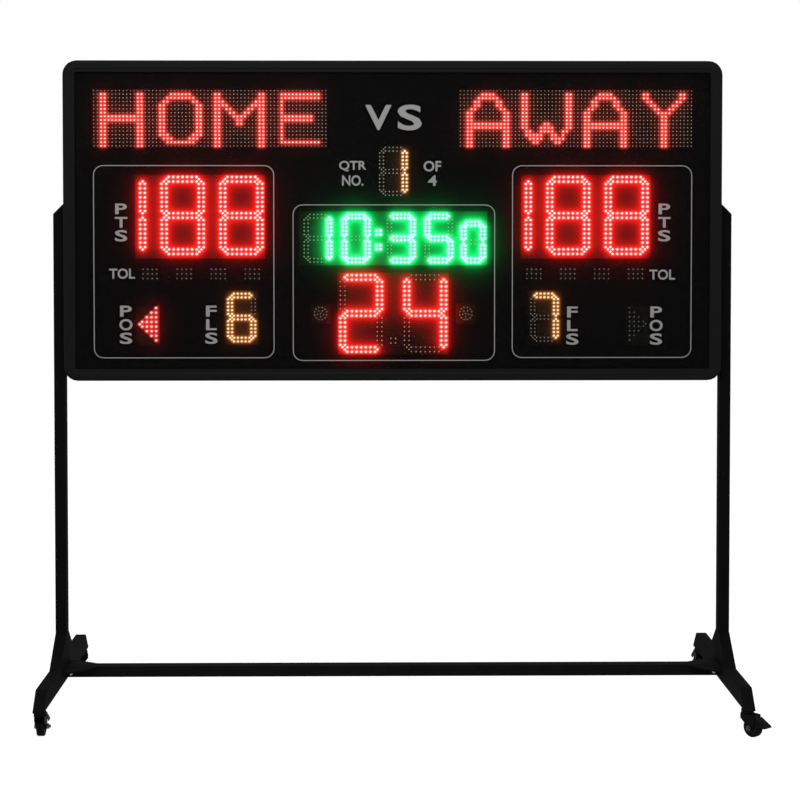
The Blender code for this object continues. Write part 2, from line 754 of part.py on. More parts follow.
def make_rear_cover(shop, material):
    """Sheet steel with hooded vents, sound holes and a cut-out for the power inlet."""
    mesh = shop.slab("rear_cover", [panel_outline()], COVER_T)
    middle_y = COVER_INNER_Y + COVER_T / 2
    cover = shop.place("rear_cover", mesh, material, upright_plane(middle_y))
    punch = bmesh.new()
    openings = [(at, SLOT_W, SLOT_H) for at in slot_centres()]
    openings.append((inlet_centre(), INLET_BODY_W + 2 * FIT_GAP, INLET_BODY_H + 2 * FIT_GAP))
    for (x, z), width, height in openings:
        place = Matrix.Translation((x, middle_y, z)) @ Matrix.Diagonal((width, 4 * COVER_T, height, 1))
        bmesh.ops.create_cube(punch, size=1, matrix=place)
    for x, z in horn_holes():
        place = Matrix.Translation((x, middle_y, z)) @ Matrix.Rotation(math.radians(90), 4, "X")
        bmesh.ops.create_cone(
            punch,
            cap_ends=True,
            segments=PUNCH_STEPS,
            radius1=HORN_HOLE_R,
            radius2=HORN_HOLE_R,
            depth=4 * COVER_T,
            matrix=place,
        )
    shop.cut(cover, shop.place("cover_punch", finish_mesh(punch, "cover_punch"), tool=True))

    hoods = bpy.data.meshes.new("vent_hoods")
    bm = bmesh.new()
    root_y = COVER_OUTER_Y - FIT_GAP
    tip_y = COVER_OUTER_Y + HOOD_OUT
    for x, z in slot_centres():
        section = [
            (root_y, z + HOOD_RISE),
            (root_y, z + HOOD_RISE - HOOD_T),
            (tip_y - HOOD_T / 2, z - SLOT_H / 3),
            (tip_y, z - SLOT_H / 3 + HOOD_T / 2),
        ]
        start_x = x - SLOT_W / 2 - HOOD_OVERHANG
        verts = [bm.verts.new((start_x, y, height)) for y, height in section]
        face = bm.faces.new(verts)
        swept = bmesh.ops.extrude_face_region(bm, geom=[face], use_keep_orig=True)
        moved = [item for item in swept["geom"] if isinstance(item, bmesh.types.BMVert)]
        bmesh.ops.translate(bm, vec=(SLOT_W + 2 * HOOD_OVERHANG, 0, 0), verts=moved)
    bmesh.ops.recalc_face_normals(bm, faces=bm.faces)
    bm.to_mesh(hoods)
    bm.free()
    shop.join(cover, shop.place("vent_hoods", hoods, tool=True))


def make_horn(shop, material):
    """A loud-hailer bell that faces the sound holes."""
    wall = HORN_WALL
    profile = [
        (HORN_THROAT_R - wall, HORN_DEPTH),
        (HORN_THROAT_R + 6 * MM, HORN_DEPTH),
        (HORN_THROAT_R + 6 * MM, HORN_DEPTH * 0.6),
        (HORN_R * 0.55, HORN_DEPTH * 0.35),
        (HORN_R * 0.8, HORN_DEPTH * 0.15),
        (HORN_R - wall, wall),
        (HORN_R, wall),
        (HORN_R, 0),
        (HORN_R - 2 * wall, 0),
        (HORN_R * 0.8 - wall, HORN_DEPTH * 0.15),
        (HORN_R * 0.55 - wall, HORN_DEPTH * 0.35),
        (HORN_THROAT_R - wall, HORN_DEPTH * 0.6),
    ]
    mesh = turned(shop, "horn", profile, closed=True, steps=16)
    centre = (HORN_X, CARRIED_REAR_Y, BOARD_BOTTOM_Z + HORN_FROM_BOTTOM)
    shop.place("horn", mesh, material, Matrix.Translation(centre) @ Matrix.Rotation(math.radians(90), 4, "X"))


def make_power_supply(shop, material):
    """A cased supply with a stepped terminal strip at one end."""
    x, z = SUPPLY_X, BOARD_BOTTOM_Z + SUPPLY_FROM_BOTTOM
    front_y = CARRIED_REAR_Y - SUPPLY_T
    low = (x - SUPPLY_W / 2, front_y, z - SUPPLY_H / 2)
    high = (x + SUPPLY_W / 2, CARRIED_REAR_Y, z + SUPPLY_H / 2)
    case = shop.place("power_supply", box_mesh("power_supply", low, high, bevel=1 * MM, segments=1), material)
    step_low = (high[0] - TERMINAL_W, front_y - MM, low[2] - MM)
    step_high = (high[0] + MM, CARRIED_REAR_Y - TERMINAL_T, high[2] + MM)
    shop.cut(case, shop.place("terminal_step", box_mesh("terminal_step", step_low, step_high), tool=True))
    pitch = SUPPLY_H / (TERMINAL_COUNT + 1)
    fins = bmesh.new()
    for index in range(TERMINAL_COUNT + 1):
        fin_z = low[2] + pitch * (index + 0.5)
        middle = (high[0] - TERMINAL_W / 2, CARRIED_REAR_Y - TERMINAL_T - 2 * MM, fin_z)
        scale = Matrix.Diagonal((TERMINAL_W - 4 * MM, 6 * MM, 1.5 * MM, 1))
        bmesh.ops.create_cube(fins, size=1, matrix=Matrix.Translation(middle) @ scale)
    shop.join(case, shop.place("terminal_fins", finish_mesh(fins, "terminal_fins"), tool=True))


def make_control_board(shop, material):
    """A circuit board on four posts, with its chips and connectors."""
    z = BOARD_TOP_Z - CONTROL_FROM_TOP
    rear_y = CARRIED_REAR_Y - CONTROL_STANDOFF
    front_y = rear_y - CONTROL_T
    low = (-CONTROL_W / 2, front_y, z - CONTROL_H / 2)
    high = (CONTROL_W / 2, rear_y, z + CONTROL_H / 2)
    board = shop.place("control_board", box_mesh("control_board", low, high), material)
    inset = 2 * CONTROL_POST_R
    posts = bmesh.new()
    for sign_x in (-1, 1):
        for sign_z in (-1, 1):
            at = (sign_x * (CONTROL_W / 2 - inset), z + sign_z * (CONTROL_H / 2 - inset))
            middle = Vector((at[0], (rear_y - CONTROL_T / 2 + CARRIED_REAR_Y) / 2, at[1]))
            turn = Matrix.Translation(middle) @ Matrix.Rotation(math.radians(90), 4, "X")
            depth = CONTROL_STANDOFF + CONTROL_T / 2
            bmesh.ops.create_cone(
                posts,
                cap_ends=True,
                segments=SMALL_ROUND_STEPS,
                radius1=CONTROL_POST_R,
                radius2=CONTROL_POST_R,
                depth=depth,
                matrix=turn,
            )
    shop.join(board, shop.place("board_posts", finish_mesh(posts, "board_posts"), tool=True))
    chips = bmesh.new()
    blocks = (
        (-0.32, 0.10, 24 * MM, 24 * MM, 3 * MM),
        (-0.05, 0.10, 14 * MM, 30 * MM, 4 * MM),
        (0.20, 0.12, 18 * MM, 18 * MM, 9 * MM),
        (0.0, -0.36, 150 * MM, 10 * MM, 11 * MM),
        (0.0, 0.36, 110 * MM, 9 * MM, 9 * MM),
    )
    for share_x, share_z, width, height, rise in blocks:
        middle = (share_x * CONTROL_W, front_y - rise / 2 + CONTROL_T / 4, z + share_z * CONTROL_H)
        scale = Matrix.Diagonal((width, rise + CONTROL_T / 2, height, 1))
        bmesh.ops.create_cube(chips, size=1, matrix=Matrix.Translation(middle) @ scale)
    shop.join(board, shop.place("board_chips", finish_mesh(chips, "board_chips"), tool=True))


def make_power_inlet(shop, black, rocker_material):
    """A mains inlet and a rocker switch in one moulding, clipped into the rear cover."""
    x, z = inlet_centre()
    flange_y = COVER_OUTER_Y + FIT_GAP
    face_y = flange_y + INLET_FLANGE_T
    body_low = (x - INLET_BODY_W / 2, face_y - INLET_FLANGE_T - INLET_BODY_T, z - INLET_BODY_H / 2)
    body_high = (x + INLET_BODY_W / 2, face_y - INLET_FLANGE_T / 2, z + INLET_BODY_H / 2)
    inlet = shop.place("power_inlet", box_mesh("power_inlet", body_low, body_high), black)
    flange = shop.slab(
        "inlet_flange", [rounded_rectangle((x, z), INLET_FLANGE_W, INLET_FLANGE_H, 3 * MM)], INLET_FLANGE_T
    )
    place = upright_plane(flange_y + INLET_FLANGE_T / 2)
    shop.join(inlet, shop.place("inlet_flange", flange, matrix=place, tool=True))

    half_w, half_h = SOCKET_W / 2, SOCKET_H / 2
    socket_z = z - SOCKET_DROP
    socket = [
        (x - half_w, socket_z - half_h),
        (x + half_w, socket_z - half_h),
        (x + half_w, socket_z + half_h - SOCKET_CHAMFER),
        (x + half_w - SOCKET_CHAMFER, socket_z + half_h),
        (x - half_w + SOCKET_CHAMFER, socket_z + half_h),
        (x - half_w, socket_z + half_h - SOCKET_CHAMFER),
    ]
    depth = 2 * SOCKET_DEPTH
    mesh = shop.slab("socket_pocket", [socket], depth)
    shop.cut(inlet, shop.place("socket_pocket", mesh, matrix=upright_plane(face_y), tool=True))
    switch_z = z + SWITCH_RISE
    low = (x - SWITCH_W / 2, face_y - SWITCH_DEPTH, switch_z - SWITCH_H / 2)
    high = (x + SWITCH_W / 2, face_y + MM, switch_z + SWITCH_H / 2)
    shop.cut(inlet, shop.place("switch_pocket", box_mesh("switch_pocket", low, high), tool=True))

    tilt = math.radians(ROCKER_TILT)
    half = SWITCH_H / 2 - 2 * RUN_GAP
    crown = [(-half, 0), (-half, 3 * MM), (0, 1.6 * MM), (half, 3 * MM), (half, 0)]
    crown = [(a * math.cos(tilt) - b * math.sin(tilt), a * math.sin(tilt) + b * math.cos(tilt)) for a, b in crown]
    limit = SWITCH_H / 2 - RUN_GAP
    reach = math.hypot(half, 3 * MM)
    shrink = min(1.0, limit / reach)
    crown = [(a * shrink, b) for a, b in crown]
    foot = arc((0, 0), limit * 0.75, 200, 340, 6)
    outline = [crown[1], crown[2], crown[3], crown[4]] + foot[::-1] + [crown[0]]
    mesh = shop.slab("power_switch_rocker", [outline], SWITCH_W - 4 * RUN_GAP)
    pivot = Matrix.Translation((x, face_y - 1 * MM, switch_z))
    turn = Matrix(((0, 0, 1, 0), (0, 1, 0, 0), (-1, 0, 0, 0), (0, 0, 0, 1)))
    shop.place("power_switch_rocker", mesh, rocker_material, pivot @ turn)


def bevelled(obj):
    """Round the long edges of a folded tube."""
    bevel = obj.modifiers.new("tube edges", "BEVEL")
    bevel.width = TUBE_EDGE_R
    bevel.segments = 2
    bevel.limit_method = "ANGLE"
    bevel.angle_limit = math.radians(30)
    return obj


def make_uprights(shop, material):
    """Square tubes with mitred, closed tops and open feet."""
    foot_z = LEG_TOP_Z + FIT_GAP
    wall = TUBE_WALL
    for side, sign in (("left", -1), ("right", 1)):
        name = f"{side}_upright"
        inner, outer = sign * UPRIGHT_INNER_X, sign * UPRIGHT_OUTER_X
        outline = [(inner, foot_z), (outer, foot_z), (outer, UPRIGHT_TOP_Z - UPRIGHT_W), (inner, UPRIGHT_TOP_Z)]
        tube = shop.place(name, shop.slab(name, [outline], UPRIGHT_D), material, upright_plane())
        bevelled(tube)
        below = foot_z - 10 * MM
        drop = wall * math.sqrt(2)
        in_x, out_x = inner + sign * wall, outer - sign * wall
        hollow = [
            (in_x, below),
            (out_x, below),
            (out_x, UPRIGHT_TOP_Z - UPRIGHT_W + wall - drop),
            (in_x, UPRIGHT_TOP_Z - wall - drop),
        ]
        bore = shop.slab(f"{name}_bore", [hollow], UPRIGHT_D - 2 * wall)
        shop.cut(tube, shop.place(f"{name}_bore", bore, matrix=upright_plane(), tool=True))


def make_legs(shop, material):
    """Rectangular tubes with mitred, closed ends, and a folded gusset before and behind the upright."""
    wall = TUBE_WALL
    seat = UPRIGHT_D / 2 + FIT_GAP
    gusset_y = UPRIGHT_D / 2 + GUSSET_REACH
    gusset_z = LEG_TOP_Z + GUSSET_H
    half = [
        (LEG_REACH, LEG_BOTTOM_Z),
        (LEG_REACH - LEG_H, LEG_TOP_Z),
        (gusset_y, LEG_TOP_Z),
        (seat, gusset_z),
        (seat, LEG_TOP_Z),
    ]
    outline = half + [(-y, z) for y, z in reversed(half)]
    reach = LEG_REACH - wall * math.sqrt(2)
    tube_hollow = [
        (reach - wall, LEG_BOTTOM_Z + wall),
        (reach - LEG_H + wall, LEG_TOP_Z - wall),
        (-reach + LEG_H - wall, LEG_TOP_Z - wall),
        (-reach + wall, LEG_BOTTOM_Z + wall),
    ]
    slope = math.atan2(GUSSET_H, GUSSET_REACH)
    back_off = wall / math.cos(slope)
    for side, sign in (("left", -1), ("right", 1)):
        name = f"{side}_leg"
        x = sign * UPRIGHT_X
        leg = shop.place(name, shop.slab(name, [outline], UPRIGHT_W), material, side_plane(x))
        bevelled(leg)
        inner_w = UPRIGHT_W - 2 * wall
        bore = shop.slab(f"{name}_bore", [tube_hollow], inner_w)
        shop.cut(leg, shop.place(f"{name}_bore", bore, matrix=side_plane(x), tool=True))
        for face in (-1, 1):
            low_z = LEG_TOP_Z + MM
            top_z = gusset_z - back_off - wall
            run = (top_z - low_z) / math.tan(slope)
            pocket = [
                (face * (seat - MM), low_z),
                (face * (seat + run), low_z),
                (face * (seat + MM), top_z),
                (face * (seat - MM), top_z),
            ]
            tag = f"{name}_gusset_{'front' if face < 0 else 'rear'}"
            mesh = shop.slab(tag, [pocket], inner_w)
            shop.cut(leg, shop.place(tag, mesh, matrix=side_plane(x), tool=True))
            low, high = LEG_BOTTOM_Z - MM, LEG_BOTTOM_Z + 2 * wall
            at = (x, face * CASTER_Y)
            hole = bore_mesh(f"{tag}_hole", STEM_R + RUN_GAP, low, high, at=at)
            shop.cut(leg, shop.place(f"{tag}_hole", hole, tool=True))


def make_crossbar(shop, material):
    """The low tube between the legs, with a flat plate welded on at each end."""
    reach = UPRIGHT_INNER_X - FIT_GAP
    wall = TUBE_WALL
    bottom_z = CROSSBAR_TOP_Z - CROSSBAR_H
    section = rectangle((0, (bottom_z + CROSSBAR_TOP_Z) / 2), CROSSBAR_D, CROSSBAR_H)
    tube = shop.place("crossbar", shop.slab("crossbar", [section], 2 * reach), material, side_plane())
    bevelled(tube)
    half_plate = CROSSBAR_D / 2 - MM
    plate_z = CROSSBAR_TOP_Z - END_PLATE_DROP - END_PLATE_T / 2
    for side, sign in (("left", -1), ("right", 1)):
        flat = reach - END_PLATE_FLAT
        start = flat - (END_PLATE_FRONT - CROSSBAR_D / 2)
        rear_start = reach - END_PLATE_FLAT - END_PLATE_REAR_RUN
        outline = [
            (sign * start, -half_plate),
            (sign * flat, -END_PLATE_FRONT),
            (sign * reach, -END_PLATE_FRONT),
            (sign * reach, END_PLATE_REAR),
            (sign * flat, END_PLATE_REAR),
            (sign * rear_start, half_plate),
        ]
        mesh = shop.slab(f"{side}_end_plate", [outline], END_PLATE_T)
        place = Matrix.Translation((0, 0, plate_z))
        shop.join(tube, shop.place(f"{side}_end_plate", mesh, matrix=place, tool=True))
    low = (-reach - MM, -CROSSBAR_D / 2 + wall, bottom_z + wall)
    high = (reach + MM, CROSSBAR_D / 2 - wall, CROSSBAR_TOP_Z - wall)
    shop.cut(tube, shop.place("crossbar_bore", box_mesh("crossbar_bore", low, high), tool=True))


def make_brackets(shop, material):
    """Angle cleats in the corner between each upright's back and the board's side."""
    rear_y = UPRIGHT_D / 2 + FIT_GAP
    outer = UPRIGHT_OUTER_X - TUBE_EDGE_R
    for side, sign in (("left", -1), ("right", 1)):
        for level, z in zip(("lower", "upper"), BRACKET_HEIGHTS_Z):
            name = f"{side}_{level}_bracket"
            root = sign * UPRIGHT_INNER_X
            outline = [
                (root, rear_y),
                (sign * outer, rear_y),
                (sign * outer, rear_y + BRACKET_T),
                (root + sign * BRACKET_T, rear_y + BRACKET_T),
                (root + sign * BRACKET_T, HALF_D),
                (root, HALF_D),
            ]
            mesh = shop.slab(name, [outline], BRACKET_H)
            shop.place(name, mesh, material, Matrix.Translation((0, 0, z)))


def stem_mesh(shop):
    """A screwed stem with its fixed race cup, and the kingpin riveted under the fork."""
    cup_low = FORK_TOP_Z + CROWN_T - FORK_PLATE_T + FIT_GAP + FIT_GAP
    cup_high = LEG_BOTTOM_Z - FIT_GAP
    top = LEG_BOTTOM_Z + STEM_RISE
    rivet_top = FORK_TOP_Z - FORK_PLATE_T - FIT_GAP
    profile = [
        (0, top),
        (STEM_R - 0.8 * MM, top),
        (STEM_R, top - 0.8 * MM),
        (STEM_R, cup_high),
        (CUP_R - 1.5 * MM, cup_high),
        (CUP_R, cup_high - 1.5 * MM),
        (CUP_R, cup_low + MM),
        (CUP_R - MM, cup_low),
        (KINGPIN_R, cup_low),
        (KINGPIN_R, rivet_top),
        (RIVET_R, rivet_top),
        (RIVET_R - MM, rivet_top - RIVET_T),
        (0, rivet_top - RIVET_T),
    ]
    return turned(shop, "caster_stem", profile, closed=False, steps=12)


def fork_mesh(shop):
    """A pressed fork: a crown plate, and two cheeks that run back to the axle."""
    lead_x = -13 * MM
    shoulder_z = 46 * MM
    tail_x = PEDAL_PIVOT_X + 5.5 * MM
    boss = arc((TRAIL, WHEEL_R), AXLE_BOSS_R, 10, -190, 8)
    outline = [(lead_x, shoulder_z), (lead_x, FORK_TOP_Z - MM), (lead_x + MM, FORK_TOP_Z)]
    outline += [(tail_x, FORK_TOP_Z), (tail_x + 2 * MM, FORK_TOP_Z - 11 * MM), (tail_x - 2 * MM, 33 * MM)]
    outline += boss
    fork = shop.place("fork_blank", shop.slab("fork_blank", [outline], 2 * FORK_OUTER), matrix=upright_plane())
    crown_low = FORK_TOP_Z - FORK_PLATE_T + FIT_GAP
    crown = rod_mesh("fork_crown", CROWN_R, crown_low, crown_low + CROWN_T)
    shop.join(fork, shop.place("fork_crown", crown, tool=True))
    under = FORK_TOP_Z - FORK_PLATE_T
    slot = box_mesh("fork_slot", (-CROWN_R, -FORK_INNER, 0), (0.1, FORK_INNER, under))
    shop.cut(fork, shop.place("fork_slot", slot, tool=True))
    window_x = CROWN_R + 1.5 * MM
    window = box_mesh("fork_window", (window_x, -FORK_INNER, under - MM), (0.1, FORK_INNER, 0.1))
    shop.cut(fork, shop.place("fork_window", window, tool=True))
    kingpin = bore_mesh("kingpin_hole", KINGPIN_R + RUN_GAP, under - MM, 0.1)
    shop.cut(fork, shop.place("kingpin_hole", kingpin, tool=True))
    reach = 2 * FORK_OUTER
    for name, radius, at in (
        ("axle_hole", AXLE_R + RUN_GAP, (TRAIL, WHEEL_R)),
        ("pedal_hole", PEDAL_PIN_R + RUN_GAP, (PEDAL_PIVOT_X, PEDAL_PIVOT_Z)),
    ):
        hole = bore_mesh(name, radius, -reach, reach, "Y", at)
        shop.cut(fork, shop.place(name, hole, tool=True))
    return shop.baked(fork)


def wheel_mesh(shop):
    """A tyre with rounded shoulders on a dished hub, about its own axle."""
    half = WHEEL_W / 2
    hub = half + HUB_PROUD
    bore = AXLE_R + RUN_GAP
    hub_r = bore + 4 * MM
    rim_r = WHEEL_R - 7 * MM
    dish = half - 2.5 * MM
    outer = [(WHEEL_R - 2.5 * MM, half), (WHEEL_R, half - 2.5 * MM)]
    inner = [(bore, hub), (hub_r, hub), (hub_r, dish), (rim_r - MM, dish), (rim_r, half)]
    profile = outer + [(r, -z) for r, z in reversed(outer)]
    profile += [(r, -z) for r, z in reversed(inner)] + inner
    return turned(shop, "caster_wheel", profile, closed=True)


def axle_mesh(shop):
    """The wheel's bolt: head on one side, nut and a spare end of thread on the other."""
    seat = FORK_OUTER + FIT_GAP
    low, high = -(seat + NUT_T + AXLE_END), seat + HEAD_T / 2
    shank = shop.place("axle_blank", rod_mesh("axle_blank", AXLE_R, low, high, SMALL_ROUND_STEPS, axis="Y"))
    nut = rod_mesh("axle_nut", HEX_R, -(seat + NUT_T), -seat, 6, axis="Y")
    head = rod_mesh("axle_head", HEX_R, seat, seat + HEAD_T, 6, axis="Y")
    shop.join(shank, shop.place("axle_nut", nut, tool=True))
    shop.join(shank, shop.place("axle_head", head, tool=True))
    return shop.baked(shank)


def pedal_mesh(shop):
    """The brake pedal about its pivot: a sloping hood with side walls, a neck, a barrel and a shoe."""
    tan = math.tan(PEDAL_SLOPE)
    lift = PEDAL_BARREL_R / math.cos(PEDAL_SLOPE)
    thick = PEDAL_T / math.cos(PEDAL_SLOPE)

    def top(x):
        return PEDAL_PIVOT_Z + lift - (x - PEDAL_PIVOT_X) * tan

    tip = PEDAL_REACH
    hem = PEDAL_HEM_Z
    hood = [
        (PEDAL_CAP_X, top(PEDAL_CAP_X)),
        (tip - MM, top(tip - MM)),
        (tip, top(tip) - MM),
        (tip - 0.5 * MM, hem + 0.5 * MM),
        (PEDAL_CAP_X + 10 * MM, hem),
        (PEDAL_CAP_X + 4 * MM, hem + 9.5 * MM),
        (PEDAL_CAP_X, top(PEDAL_CAP_X) - thick - MM),
    ]
    pedal = shop.place("pedal_blank", shop.slab("pedal_blank", [hood], 2 * PEDAL_HALF_W), matrix=upright_plane())
    inside = [
        (PEDAL_CAP_X - 6 * MM, top(PEDAL_CAP_X - 6 * MM) - thick),
        (tip - 3 * MM, top(tip - 3 * MM) - thick),
        (tip - 3 * MM, hem - 5 * MM),
        (PEDAL_CAP_X - 6 * MM, hem - 5 * MM),
    ]
    hollow = shop.slab("pedal_hollow", [inside], 2 * (PEDAL_HALF_W - PEDAL_WALL))
    shop.cut(pedal, shop.place("pedal_hollow", hollow, matrix=upright_plane(), tool=True))

    neck_end = PEDAL_CAP_X + 3 * MM
    skim = 0.3 * MM
    neck = [
        (PEDAL_PIVOT_X, top(PEDAL_PIVOT_X) - skim - MM),
        (neck_end, top(neck_end) - skim),
        (neck_end, top(neck_end) - thick + skim),
        (PEDAL_PIVOT_X, top(PEDAL_PIVOT_X) - thick - skim),
    ]
    neck_half = FORK_INNER - 2 * RUN_GAP
    mesh = shop.slab("pedal_neck", [neck], 2 * neck_half)
    shop.join(pedal, shop.place("pedal_neck", mesh, matrix=upright_plane(), tool=True))
    pivot = (PEDAL_PIVOT_X, PEDAL_PIVOT_Z)
    barrel_half = FORK_INNER - RUN_GAP
    barrel = rod_mesh("pedal_barrel", PEDAL_BARREL_R, -barrel_half, barrel_half, SMALL_ROUND_STEPS, "Y", pivot)
    shop.join(pedal, shop.place("pedal_barrel", barrel, tool=True))
    pin_half = FORK_OUTER + MM
    pin = rod_mesh("pedal_pin", PEDAL_PIN_R, -pin_half, pin_half, SMALL_ROUND_STEPS, "Y", pivot)
    shop.join(pedal, shop.place("pedal_pin", pin, tool=True))

    shoe_near = WHEEL_R + SHOE_GAP
    plate_normal = math.hypot(PEDAL_PIVOT_X - TRAIL, PEDAL_PIVOT_Z - WHEEL_R)
    shoe_far = plate_normal + PEDAL_BARREL_R - PEDAL_T / 2
    shoe = box_mesh(
        "pedal_shoe", (-SHOE_LENGTH / 2, -SHOE_HALF_W, shoe_near), (SHOE_LENGTH / 2, SHOE_HALF_W, shoe_far)
    )
    lean = Matrix.Translation((TRAIL, 0, WHEEL_R)) @ Matrix.Rotation(PEDAL_SLOPE, 4, "Y")
    shop.join(pedal, shop.place("pedal_shoe", shoe, matrix=lean, tool=True))

    ribs = bmesh.new()
    for index in range(TREAD_RIB_COUNT):
        x = tip - 8 * MM - index * TREAD_RIB_PITCH
        place = Matrix.Translation((x, 0, top(x))) @ Matrix.Rotation(PEDAL_SLOPE, 4, "Y")
        scale = Matrix.Diagonal((1.6 * MM, 2 * PEDAL_HALF_W - 6 * MM, 1.6 * MM, 1))
        bmesh.ops.create_cube(ribs, size=1, matrix=place @ scale)
    shop.join(pedal, shop.place("pedal_ribs", finish_mesh(ribs, "pedal_ribs"), tool=True))
    mesh = shop.baked(pedal)
    mesh.transform(Matrix.Translation((-PEDAL_PIVOT_X, -PEDAL_PIVOT_Z, 0)))
    return mesh


def make_casters(shop, steel, dark, rubber, zinc):
    """Four swivel casters, each about an empty on its swivel axis at floor level."""
    meshes = {
        "stem": (stem_mesh(shop), zinc, Matrix.Identity(4)),
        "fork": (fork_mesh(shop), steel, upright_plane()),
        "wheel": (
            wheel_mesh(shop),
            rubber,
            Matrix.Translation((TRAIL, 0, WHEEL_R)) @ Matrix.Rotation(math.radians(90), 4, "X"),
        ),
        "axle": (axle_mesh(shop), zinc, Matrix.Translation((TRAIL, 0, WHEEL_R))),
        "brake_pedal": (
            pedal_mesh(shop),
            dark,
            Matrix.Translation((PEDAL_PIVOT_X, 0, PEDAL_PIVOT_Z)) @ upright_plane(),
        ),
    }
    for corner, trail in CASTER_TRAILS.items():
        x = UPRIGHT_X if "right" in corner else -UPRIGHT_X
        y = -CASTER_Y if "front" in corner else CASTER_Y
        turn = Matrix.Rotation(math.radians(trail), 4, "Z")
        swivel = shop.empty(f"{corner}_swivel", Matrix.Translation((x, y, 0)) @ turn)
        for piece, (mesh, material, place) in meshes.items():
            shop.place(f"{corner}_{piece}", mesh, material, place, parent=swivel)


def main():
    for obj in list(bpy.data.objects):
        bpy.data.objects.remove(obj, do_unlink=True)
    shop = Workshop()
    frame_black = make_material("frame_black", (0.012, 0.012, 0.013), 0.38, 0.6)
    smoked = make_material("smoked_sheet", (0.02, 0.02, 0.022), 0.06, 0.0, 0.35)
    board_black = make_material("board_black", (0.008, 0.008, 0.008), 0.5)
    lamp_board = make_material("lamp_board", (0.015, 0.015, 0.014), 0.55)
    stand_black = make_material("stand_black", (0.010, 0.010, 0.010), 0.35, 0.2)
    sheet_black = make_material("sheet_black", (0.014, 0.014, 0.015), 0.45, 0.3)
    supply_silver = make_material("supply_silver", (0.55, 0.56, 0.57), 0.35, 1.0)
    circuit_green = make_material("circuit_green", (0.02, 0.12, 0.05), 0.45)
    horn_grey = make_material("horn_grey", (0.08, 0.08, 0.09), 0.5)
    moulded_black = make_material("moulded_black", (0.012, 0.012, 0.012), 0.4)
    rocker_red = make_material("rocker_red", (0.45, 0.02, 0.015), 0.35)
    tyre_rubber = make_material("tyre_rubber", (0.012, 0.011, 0.010), 0.75)
    zinc = make_material("zinc_plate", (0.42, 0.42, 0.40), 0.3, 1.0)

    displays = display_list()
    make_rails(shop, frame_black)
    make_corners(shop, frame_black)
    make_panels(shop, displays, smoked, board_black)
    make_displays(shop, displays, lamp_board)
    make_rear_cover(shop, sheet_black)
    make_horn(shop, horn_grey)
    make_power_supply(shop, supply_silver)
    make_control_board(shop, circuit_green)
    make_power_inlet(shop, moulded_black, rocker_red)
    make_uprights(shop, stand_black)
    make_legs(shop, stand_black)
    make_crossbar(shop, stand_black)
    make_brackets(shop, stand_black)
    make_casters(shop, stand_black, moulded_black, tyre_rubber, zinc)


main()
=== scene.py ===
"""Dresses the scoreboard: lamps and their glow, print, fittings, finishes and the studio."""

import json
import math
from typing import NamedTuple

import bmesh
import bpy
import numpy as np
from bpy.props import FloatProperty, FloatVectorProperty, PointerProperty, StringProperty
from bpy.types import Operator, Panel, PropertyGroup
from mathutils import Matrix, Vector

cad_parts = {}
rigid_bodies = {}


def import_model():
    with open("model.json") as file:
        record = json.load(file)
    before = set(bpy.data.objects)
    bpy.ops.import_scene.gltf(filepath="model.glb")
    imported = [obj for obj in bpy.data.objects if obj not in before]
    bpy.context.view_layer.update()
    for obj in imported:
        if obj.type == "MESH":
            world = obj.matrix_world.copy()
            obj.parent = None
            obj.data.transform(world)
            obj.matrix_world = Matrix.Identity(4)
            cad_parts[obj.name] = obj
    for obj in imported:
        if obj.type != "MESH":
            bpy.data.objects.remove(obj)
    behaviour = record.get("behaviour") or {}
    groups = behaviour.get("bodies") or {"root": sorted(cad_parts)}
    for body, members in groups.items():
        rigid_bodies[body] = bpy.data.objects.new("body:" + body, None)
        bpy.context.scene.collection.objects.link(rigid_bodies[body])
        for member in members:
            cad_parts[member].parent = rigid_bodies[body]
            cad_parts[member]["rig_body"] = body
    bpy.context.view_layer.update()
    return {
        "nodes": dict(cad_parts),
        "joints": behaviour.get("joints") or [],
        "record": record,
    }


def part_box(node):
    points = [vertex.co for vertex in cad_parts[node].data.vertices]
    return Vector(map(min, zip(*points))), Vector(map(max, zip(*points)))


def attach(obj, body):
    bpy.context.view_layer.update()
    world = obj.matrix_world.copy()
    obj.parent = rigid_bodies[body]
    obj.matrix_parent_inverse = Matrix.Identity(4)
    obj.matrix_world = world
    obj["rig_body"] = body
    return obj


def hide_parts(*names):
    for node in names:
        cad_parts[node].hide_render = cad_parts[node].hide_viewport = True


bl_info = {
    "name": "Scoreboard Dressing",
    "version": (1, 0, 0),
    "blender": (4, 5, 0),
    "location": "View3D > Sidebar > Scoreboard",
    "description": "Dresses a wheeled basketball scoreboard with lamps, print, fittings and finishes",
    "category": "Object",
}

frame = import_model()
MM = 0.001
ROOT = "board_and_stand"

# The board, as its CAD nodes have it
BOARD_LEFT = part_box("frame_left_rail")[0].x
BOARD_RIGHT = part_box("frame_right_rail")[1].x
BOARD_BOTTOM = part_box("frame_bottom_rail")[0].z
BOARD_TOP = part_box("frame_top_rail")[1].z
BOARD_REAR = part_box("frame_top_rail")[1].y
GLAZING_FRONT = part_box("front_glazing")[0].y
COVER_FACE = BOARD_REAR - 0.7 * MM

